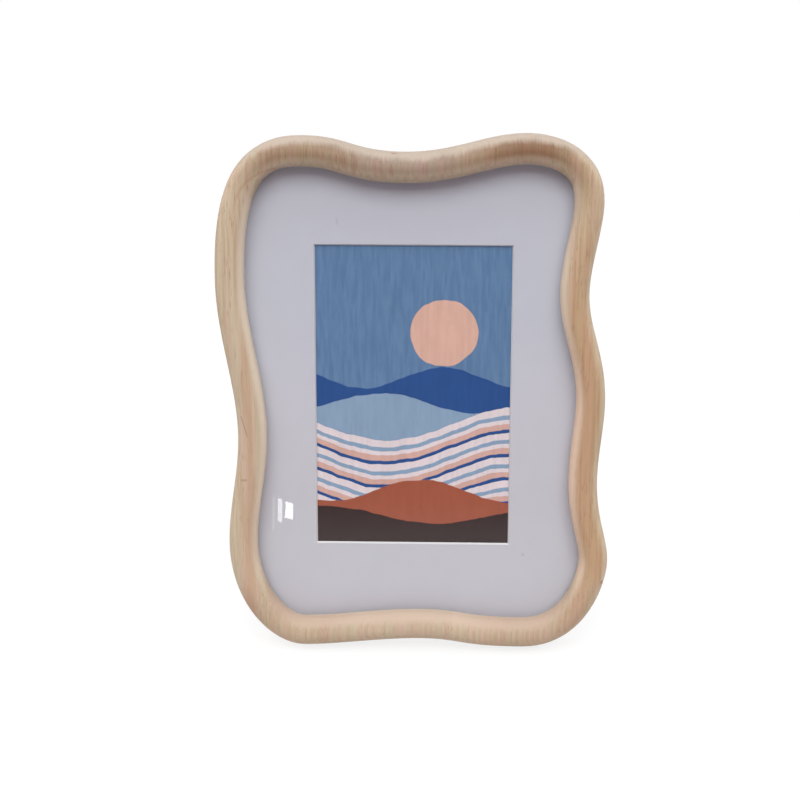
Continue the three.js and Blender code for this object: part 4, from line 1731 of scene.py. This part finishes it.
@dataclass
class EaselHinge:
    """The stamped hinge between the board and the strut, modelled about its pin.

    Attributes:
        sheet: Thickness of the sheet, in millimetres.
        knuckle: Radius of the ears round the pin.
        bore: Radius of the ears' holes.
        pin_radius: Radius of the pin.
        pin_reach: Half of the pin's length.
        pin_head: Radius of the pin's heads.
        head_height: Height of the pin's heads.
        head_dome: Rounding of the heads' rims.
        plate_size: Width and height of the plate.
        plate_corner: Rounding of its corners.
        plate_drop: How far the plate reaches below the pin.
        plate_back: Height of the plate's back in front of the pin.
        plate_rivets: Places of its rivets, out from the middle and up from the pin.
        plate_grip: How far these reach in front of the plate's back.
        outer_ear: Outer face of the plate's ears.
        leaf_size: Width and length of the leaf.
        leaf_corner: Rounding of its corners.
        leaf_front: Distance of the leaf's front behind the pin.
        leaf_rivets: Places of its rivets, out from the middle and up from the pin.
        leaf_grip: How far these reach in front of the pin.
        tongue_size: Width and reach of the stop tongue.
        tongue_corner: Rounding of its corners.
    """

    sheet: float = 0.8
    knuckle: float = 2.0
    bore: float = 1.2
    pin_radius: float = 0.9
    pin_reach: float = 11.6
    pin_head: float = 1.6
    head_height: float = 0.7
    head_dome: float = 0.5
    plate_size: Pair = (28.0, 20.0)
    plate_corner: float = 2.5
    plate_drop: float = 2.0
    plate_back: float = 2.4
    plate_rivets: Pair = (7.5, 12.0)
    plate_grip: float = 3.5
    outer_ear: float = 10.6
    leaf_size: Pair = (19.0, 26.0)
    leaf_corner: float = 4.0
    leaf_front: float = 1.5
    leaf_rivets: Pair = (5.0, -17.0)
    leaf_grip: float = 0.8
    tongue_size: Pair = (13.0, 6.8)
    tongue_corner: float = 1.5

    def add_ears(self, piece: Piece, outer_face: float, base: float) -> None:
        """Adds two ears round the pin, drawn out from the sheet, and drills and softens them.

        Args:
            piece: The plate or the leaf.
            outer_face: The ears' outer faces, in millimetres from the middle.
            base: Height of the sheet in front of the pin.
        """
        for _, sign in SIDES:
            faces = sorted((sign * outer_face, sign * (outer_face - self.sheet)))
            ear = add_round(self.knuckle, *faces, Along.ACROSS)
            with edit_mode(ear):
                pick(ear, Pick.CORNERS, lambda at, normal: at.z * base > NEAR)
                bpy.ops.transform.resize(value=(1.0, 1.0, 0.0), center_override=ORIGIN)
                bpy.ops.transform.translate(value=(0.0, 0.0, base * MM))
            clean(ear)
            carve(piece, ear, Carve.ADD)
        reach = outer_face + 1.0
        carve(piece, add_round(self.bore, -reach, reach, Along.ACROSS), Carve.CUT)
        soften(piece, SHEET_EDGE)

    def plate(self) -> None:
        """Models the plate with its two ears and fits it to the board."""
        half, low = self.plate_size[0] / 2, -self.plate_drop
        high = low + self.plate_size[1]
        plate = add_slab((-half, low, self.plate_back), (half, high, self.plate_back + self.sheet))
        round_edges(plate, lambda at, way: abs(way.z) > PARALLEL, self.plate_corner)
        self.add_ears(plate, self.outer_ear, self.plate_back + self.sheet / 2)
        settle(plate, HINGE_SEAT)
        fit(plate, "hinge_back_plate", "frame", ZINC, "hinge_plate")

    def leaf(self) -> None:
        """Models the leaf with its ears and stop tongue and fits it to the strut."""
        half, front = self.leaf_size[0] / 2, -self.leaf_front
        back = front - self.sheet
        leaf = add_slab((-half, -self.leaf_size[1], back), (half, self.knuckle, front))
        round_edges(leaf, lambda at, way: abs(way.z) > PARALLEL and at.y < 0.0, self.leaf_corner)
        side, reach = self.tongue_size[0] / 2, self.tongue_size[1]
        tongue = add_slab((-side, 0.0, back), (side, reach, front))
        round_edges(tongue, lambda at, way: abs(way.z) > PARALLEL and at.y > 1.0,
                    self.tongue_corner)
        carve(leaf, tongue, Carve.ADD)
        self.add_ears(leaf, half, front - self.sheet / 2)
        settle(leaf, STRUT_SEAT)
        fit(leaf, "hinge_strut_leaf", "strut", ZINC, "hinge_leaf")

    def pin(self) -> None:
        """Models the pin with a domed head at each end and fits it."""
        pin = add_round(self.pin_radius, -self.pin_reach, self.pin_reach, Along.ACROSS)
        for _, sign in SIDES:
            end = sign * self.pin_reach
            cap = add_round(self.pin_head, *sorted((end - sign * self.head_height, end)),
                            Along.ACROSS)
            round_edges(cap, lambda at, way: abs(at.x - end) < NEAR, self.head_dome, steps=4)
            carve(pin, cap, Carve.ADD)
        clean(pin)
        settle(pin, HINGE_SEAT)
        fit(pin, "hinge_pin_bar", "frame", BRASS, "hinge_pin")

    def rivets(self) -> None:
        """Models a rivet each for the plate and the leaf and copies it to both sides."""
        plate_rivet = HeadedPin(CLEARANCE - self.plate_back, self.plate_back + self.plate_grip)
        leaf_rivet = HeadedPin(self.leaf_front + self.sheet + CLEARANCE, self.leaf_grip)
        rows = ((plate_rivet, HINGE_SEAT, "plate", "frame", self.plate_rivets),
                (leaf_rivet, STRUT_SEAT, "leaf", "strut", self.leaf_rivets))
        for kind, seat, part, body, (spread, height) in rows:
            rivet = kind.build()
            clean(rivet)
            for side, sign in SIDES:
                stud = copy_of(rivet)
                settle(stud, seat, (sign * spread, height, 0.0))
                fit(stud, f"hinge_{part}_stud_{side}", body, BRASS, f"hinge_{part}_rivet_{side}")
            bpy.data.objects.remove(rivet)

    def build(self) -> None:
        """Builds the hinge."""
        self.plate()
        self.leaf()
        self.pin()
        self.rivets()


@dataclass
class EaselStrut:
    """The fibreboard strut, modelled from the hinge pin down.

    Attributes:
        top: Its upper edge below the pin, in millimetres.
        foot: Its lower edge before it is cut level.
        widths: Width at the top and at the foot.
        corners: Rounding of the corners at the top and at the foot.
        back: Its back behind the pin.
        front: Its front before the pin.
        edge: Width of its worn edges.
    """

    top: float = -4.3
    foot: float = -160.4
    widths: Pair = (32.0, 56.0)
    corners: Pair = (5.6, 4.0)
    back: float = -1.2
    front: float = 1.8
    edge: float = 0.35

    def build(self) -> None:
        """Models the tapered strut, cuts its foot level with the table and fits it."""
        half, middle = self.widths[0] / 2, (self.top + self.foot) / 2
        strut = add_slab((-half, self.foot, self.back), (half, self.top, self.front))
        with edit_mode(strut):
            pick(strut, Pick.CORNERS, lambda at, normal: at.y < middle)
            bpy.ops.transform.resize(value=(self.widths[1] / self.widths[0], 1.0, 1.0),
                                     center_override=ORIGIN)
        for end, corner in zip((1.0, -1.0), self.corners):
            round_edges(strut, lambda at, way: abs(way.z) > PARALLEL and (at.y - middle) * end > 0,
                        corner, steps=8)
        settle(strut, STRUT_SEAT)
        with edit_mode(strut):
            bpy.ops.mesh.select_all(action="SELECT")
            bpy.ops.mesh.bisect(plane_co=ORIGIN, plane_no=(0.0, 0.0, 1.0), use_fill=True,
                                clear_inner=True)
        clean(strut)
        soften(strut, self.edge, steps=3, sharpness=50.0)
        fit(strut, "easel_leg", "strut", STRUT_FIBRE, "easel_strut")


@dataclass
class Hanger:
    """The folded strap with its rivet and the wire ring that swings in it.

    Attributes:
        width: Width of the strap, in millimetres.
        length: How far the strap reaches below the ring's bar.
        sheet: Thickness of the strap.
        strap_corner: Rounding of the strap's lower corners.
        loop: Outer radius of the strap's loop.
        eye: Radius of the loop's hole.
        rivet_drop: How far the rivet sits below the bar.
        rivet_grip: How far it reaches in front of the strap.
        wire: Radius of the ring's wire.
        bend: Radius of the ring's bend at the middle of the wire.
        corner: Radius of the ring's corners.
    """

    width: float = 8.0
    length: float = 12.0
    sheet: float = 0.8
    strap_corner: float = 2.2
    loop: float = 1.9
    eye: float = 1.1
    rivet_drop: float = 8.0
    rivet_grip: float = 2.3
    wire: float = 0.8
    bend: float = 7.2
    corner: float = 1.2

    def strap(self) -> None:
        """Models the strap, folded round the ring's bar, and fits it."""
        half = self.width / 2
        strap = add_slab((-half, -self.length, self.loop - self.sheet), (half, 0.0, self.loop))
        round_edges(strap, lambda at, way: abs(way.z) > PARALLEL and at.y < -1.0,
                    self.strap_corner)
        carve(strap, add_round(self.loop, -half, half, Along.ACROSS), Carve.ADD)
        carve(strap, add_round(self.eye, -half - 1.0, half + 1.0, Along.ACROSS), Carve.CUT)
        soften(strap, SHEET_EDGE)
        settle(strap, STRAP_SEAT)
        fit(strap, "hanger_folded_strap", "frame", BRASS, "hanger_strap")

    def rivet(self) -> None:
        """Models the strap's rivet and fits it."""
        under_head = self.loop - self.sheet - CLEARANCE
        rivet = HeadedPin(-under_head, self.loop + self.rivet_grip).build()
        clean(rivet)
        settle(rivet, STRAP_SEAT, (0.0, -self.rivet_drop, 0.0))
        fit(rivet, "hanger_stud", "frame", BRASS, "hanger_rivet")

    def ring(self) -> None:
        """Bends the wire to a ring with a straight bar and fits it."""
        bar, bend, corner = self.bend - self.corner, self.bend, self.corner
        wide, tight = QUARTER * bend, QUARTER * corner
        ring = closed_curve(bend, [
            Station((-bar, 0.0), before=(-tight, 0.0)),
            Station((bar, 0.0), after=(tight, 0.0)),
            Station((bend, -corner), (0.0, tight), (0.0, -wide)),
            Station((0.0, -corner - bend), (wide, 0.0), (-wide, 0.0)),
            Station((-bend, -corner), (0.0, -wide), (0.0, tight)),
        ], steps=14)
        ring.data.bevel_depth = self.wire * MM
        ring.data.bevel_resolution = 6
        curve_to_mesh(ring)
        clean(ring, sharpness=60.0)
        settle(ring, RING_SEAT)
        fit(ring, "hanger_wire_ring", "ring", BRASS, "hanger_ring")

    def build(self) -> None:
        """Builds the hanger."""
        self.strap()
        self.rivet()
        self.ring()


@dataclass
class PhotoCamera:
    """The camera at the photograph's angle, aimed at the mat window's middle.

    Attributes:
        target: What it aims at on the leaning seat, in millimetres.
        rise: Angle above the picture's normal, in degrees.
        side: Angle to the right of it.
        roll: Turn about the line of sight.
        distance: Distance to the target, in millimetres.
        focal: Focal length in pixels of the image.
        centre: Where the line of sight meets the image, in pixels.
        sensor: Width of the sensor, in millimetres.
        nearest: Distance from which on things show, in metres.
    """

    target: Triple = (-0.7, -0.3, 5.7)
    rise: float = 13.33
    side: float = 1.37
    roll: float = 0.17
    distance: float = 741.1
    focal: float = 1611.0
    centre: Pair = (413.3, 396.2)
    sensor: float = 36.0
    nearest: float = 0.01

    def axes(self) -> tuple[Vector, Vector, Vector]:
        """Works out the camera's axes on the leaning seat.

        Returns:
            Its right, up and back directions.
        """
        rise, side, roll = (math.radians(turn) for turn in (self.rise, self.side, self.roll))
        level = math.cos(rise)
        back = Vector((math.sin(side) * level, math.sin(rise), math.cos(side) * level))
        right = Vector((math.cos(side), 0.0, -math.sin(side)))
        turned = math.cos(roll) * right + math.sin(roll) * back.cross(right)
        return turned, back.cross(turned), back

    def eye(self) -> Vector:
        """Gives the camera's place on the leaning seat, in millimetres."""
        return Vector(self.target) + self.axes()[2] * self.distance

    def mirrored(self, pixel: Pair, height: float, reach: float) -> Vector:
        """Follows the line of sight through a pixel to the pane and on after its reflection.

        Args:
            pixel: Place in the image.
            height: Height of the pane's front on the leaning seat, in millimetres.
            reach: How far to follow it past the pane, in millimetres.

        Returns:
            Where it gets to in the row frame, in metres.
        """
        right, up, back = self.axes()
        x, y = pixel[0] - self.centre[0], pixel[1] - self.centre[1]
        sight = (right * x - up * y) / self.focal - back
        touch = self.eye() + sight * ((height - self.eye().z) / sight.z)
        onward = Vector((sight.x, sight.y, -sight.z)).normalized()
        return LEANING.matrix() @ ((touch + onward * reach) * MM)

    def build(self) -> None:
        """Makes the camera and gives it to the scene."""
        data = bpy.data.cameras.new("photo_camera")
        data.sensor_width = self.sensor
        data.lens = self.focal / IMAGE_SIZE * self.sensor
        data.shift_x = 0.5 - self.centre[0] / IMAGE_SIZE
        data.shift_y = self.centre[1] / IMAGE_SIZE - 0.5
        data.clip_start = self.nearest
        camera = bpy.data.objects.new("photo_camera", data)
        bpy.context.scene.collection.objects.link(camera)
        turn = Matrix(self.axes()).transposed().to_4x4()
        camera.matrix_world = LEANING.matrix() @ Matrix.Translation(self.eye() * MM) @ turn
        bpy.context.scene.camera = camera
        LOG.info("camera at %s", tuple(round(part, 4) for part in camera.matrix_world.translation))


FRAME_MIDDLE: Triple = (0.0, 0.0, 0.12)
COOL_WHITE: Colour = (0.91, 1.0, 0.987)


@dataclass(frozen=True)
class Lamp:
    """A soft rectangular lamp.

    Attributes:
        name: Its name.
        place: Where it hangs, in metres.
        size: Width and height of its face.
        power: Its power, in watts.
        colour: Colour of its light.
        aim: What it faces.
        mirrored: Whether glossy surfaces show it.
    """

    name: str
    place: Triple
    size: Pair
    power: float
    colour: Colour = (1.0, 1.0, 1.0)
    aim: Triple = FRAME_MIDDLE
    mirrored: bool = True

    def build(self) -> None:
        """Hangs the lamp."""
        data = bpy.data.lights.new(self.name, "AREA")
        data.shape = "RECTANGLE"
        data.size, data.size_y = self.size
        data.energy = self.power
        data.color = self.colour
        lamp = bpy.data.objects.new(self.name, data)
        bpy.context.scene.collection.objects.link(lamp)
        sight = Vector(self.aim) - Vector(self.place)
        lamp.location = self.place
        lamp.rotation_euler = sight.to_track_quat("-Z", "Y").to_euler()
        lamp.visible_camera = False
        lamp.visible_glossy = self.mirrored


def stage_board(piece: Piece, name: str) -> NodeBoard:
    """Gives a piece of the studio a material of its own that shows nothing yet.

    Args:
        piece: The mesh object.
        name: The material's name.

    Returns:
        A board on the material.
    """
    material = bpy.data.materials.new(name)
    material.use_nodes = True
    material.node_tree.nodes.remove(material.node_tree.nodes["Principled BSDF"])
    piece.data.materials.append(material)
    return NodeBoard(material.node_tree)


@dataclass(frozen=True)
class Glint:
    """A small bright card that only shows as a reflection in the pane.

    Attributes:
        name: Its name.
        corners: Corners of the reflection in the image, clockwise from the upper left, in pixels.
        brightness: How bright it is beside plain white.
        pane_front: Height of the pane's front on the leaning seat, in millimetres.
        reach: Distance from the pane, in millimetres.
    """

    name: str
    corners: tuple[Pair, ...]
    brightness: float
    pane_front: float = 8.0
    reach: float = 260.0

    def build(self) -> None:
        """Places the card where the pane mirrors it to the camera."""
        clear_selection()
        bpy.ops.mesh.primitive_circle_add(vertices=len(self.corners), fill_type="NGON",
                                          location=ORIGIN)
        card = bpy.context.object
        card.name = self.name
        for corner, pixel in zip(card.data.vertices, self.corners):
            corner.co = PhotoCamera().mirrored(pixel, self.pane_front, self.reach)
        board = stage_board(card, self.name)
        glow = board.add("Emission")
        glow.inputs["Strength"].default_value = self.brightness
        board.show(glow)
        card.visible_camera = card.visible_diffuse = card.visible_shadow = False


@dataclass
class Studio:
    """The pale floor, the white surroundings and the soft lamps.

    Attributes:
        floor_span: Size of the floor, in metres.
        floor_drop: How far the floor lies below the table's plane, in metres.
        near_bounce: How pale the floor is for light that it sends back near the frame.
        far_bounce: How pale it is farther away.
        near_reach: Where the floor's paleness starts and ends to fall off, in metres.
        shaded: Colour of the floor that the camera sees in part, with the frame's shadow.
        backdrop_white: Share of plain white in what the camera sees of the near floor.
        backdrop_reach: Where that share starts and ends to grow to all white, in metres.
        ambient: Level of the even light.
        ambient_colour: Its colour.
        mirrored: Level of the surroundings and the far floor in reflections.
        mirrored_reach: Where the floor's white starts and ends to fall to that level, in metres.
        lamps: The lamps.
        glints: The cards that the pane mirrors.
    """

    floor_span: float = 8.0
    floor_drop: float = 0.0002
    near_bounce: float = 0.75
    far_bounce: float = 0.25
    near_reach: Pair = (0.08, 0.28)
    shaded: Colour = (0.92, 0.92, 0.92)
    backdrop_white: float = 0.82
    backdrop_reach: Pair = (0.25, 0.7)
    ambient: float = 0.453
    ambient_colour: Colour = (1.0, 0.742, 0.814)
    mirrored: float = 0.33
    mirrored_reach: Pair = (0.4, 0.9)
    lamps: tuple[Lamp, ...] = (
        Lamp("front_softbox", (-0.03, -0.882, 1.333), (1.7, 0.8), 21.3, COOL_WHITE),
        Lamp("overhead_panel", (0.0, -0.12, 1.6), (1.0, 0.6), 8.2, (0.79, 0.963, 1.0)),
        Lamp("rear_panel", (0.0, 0.55, 1.45), (1.0, 0.5), 1.64, (0.57, 0.861, 1.0)),
        Lamp("rear_fill", (0.0, 1.5, 0.8), (2.6, 1.8), 9.0),
        *(Lamp(f"{side}_strip", (sign * 0.6, 0.14, 0.25), (0.15, 0.4), 1.25, COOL_WHITE,
               (sign * 0.09, 0.0, 0.12), mirrored=False) for side, sign in SIDES),
    )
    glints: tuple[Glint, ...] = (
        Glint("glint_bright", ((285.4, 501.6), (293.4, 504.2), (292.7, 519.6), (284.8, 518.2)),
              22.0),
        Glint("glint_dim", ((277.9, 498.0), (282.3, 500.8), (281.8, 523.0), (277.5, 521.5)), 10.0),
        Glint("glint_faint", ((272.5, 498.0), (274.6, 498.0), (274.2, 531.0), (272.0, 531.0)), 2.5),
    )

    def backdrop(self, board: NodeBoard, light: Node, seen: Node) -> None:
        """Shows one shader to look at, straight on, mirrored or through glass, and one for light.

        Args:
            board: The material's or the world's nodes.
            light: The shader for rays that only carry light.
            seen: The shader for rays that show the backdrop.
        """
        rays = board.add("LightPath").outputs
        bent = board.maths("MAXIMUM", rays["Is Glossy Ray"], rays["Is Transmission Ray"])
        looking = board.maths("MAXIMUM", rays["Is Camera Ray"], bent)
        board.show(board.either(looking, light, seen))

    def white(self, board: NodeBoard, kind: str, mirrored: Feed) -> Node:
        """Adds the backdrop's white, which reflections may show at a lower level.

        Args:
            board: The material's or the world's nodes.
            kind: The kind of shader.
            mirrored: Its level in reflections.

        Returns:
            The shader.
        """
        glossy = board.add("LightPath").outputs["Is Glossy Ray"]
        level = board.between(glossy, 0.0, 1.0, 1.0, mirrored)
        return board.feed_all(board.add(kind), {"Color": (1.0, 1.0, 1.0), "Strength": level})

    def floor(self) -> None:
        """Makes the floor, white to look at but for the frame's shadow."""
        clear_selection()
        bpy.ops.mesh.primitive_plane_add(size=self.floor_span,
                                         location=(0.0, 0.0, -self.floor_drop))
        floor = bpy.context.object
        floor.name = "studio_floor"
        board = stage_board(floor, "StudioFloor")
        distance = board.length(board.add("TexCoord").outputs["Object"])
        paleness = board.between(distance, *self.near_reach, self.near_bounce, self.far_bounce)
        bounce = board.feed_all(board.add("BsdfDiffuse"), {"Color": paleness})
        shaded = board.feed_all(board.add("BsdfDiffuse"), {"Color": self.shaded})
        mirrored = board.between(distance, *self.mirrored_reach, 1.0, self.mirrored)
        share = board.between(distance, *self.backdrop_reach, self.backdrop_white, 1.0)
        seen = board.either(share, shaded, self.white(board, "Emission", mirrored))
        self.backdrop(board, bounce, seen)

    def surroundings(self) -> None:
        """Makes the world white to look at, with even light of a plain level."""
        world = bpy.data.worlds.new("StudioWorld")
        world.use_nodes = True
        bpy.context.scene.world = world
        board = NodeBoard(world.node_tree)
        light = board.tree.nodes["Background"]
        board.feed_all(light, {"Color": self.ambient_colour, "Strength": self.ambient})
        self.backdrop(board, light, self.white(board, "Background", self.mirrored))

    def build(self) -> None:
        """Builds the studio."""
        self.floor()
        self.surroundings()
        for lamp in (*self.lamps, *self.glints):
            lamp.build()
        bpy.context.scene.view_settings.view_transform = "Standard"


def main() -> None:
    """Builds the frame's sub-assemblies and the studio in order."""
    logging.basicConfig(level=logging.INFO, format="%(name)s: %(message)s")
    PhotoCamera().build()
    for assembly in (Moulding(), Picture(), TurnButtons(), EaselHinge(), EaselStrut(),
                     Hanger(), Studio()):
        assembly.build()
        LOG.info("%s done", type(assembly).__name__)


if __name__ == "__main__":
    main()
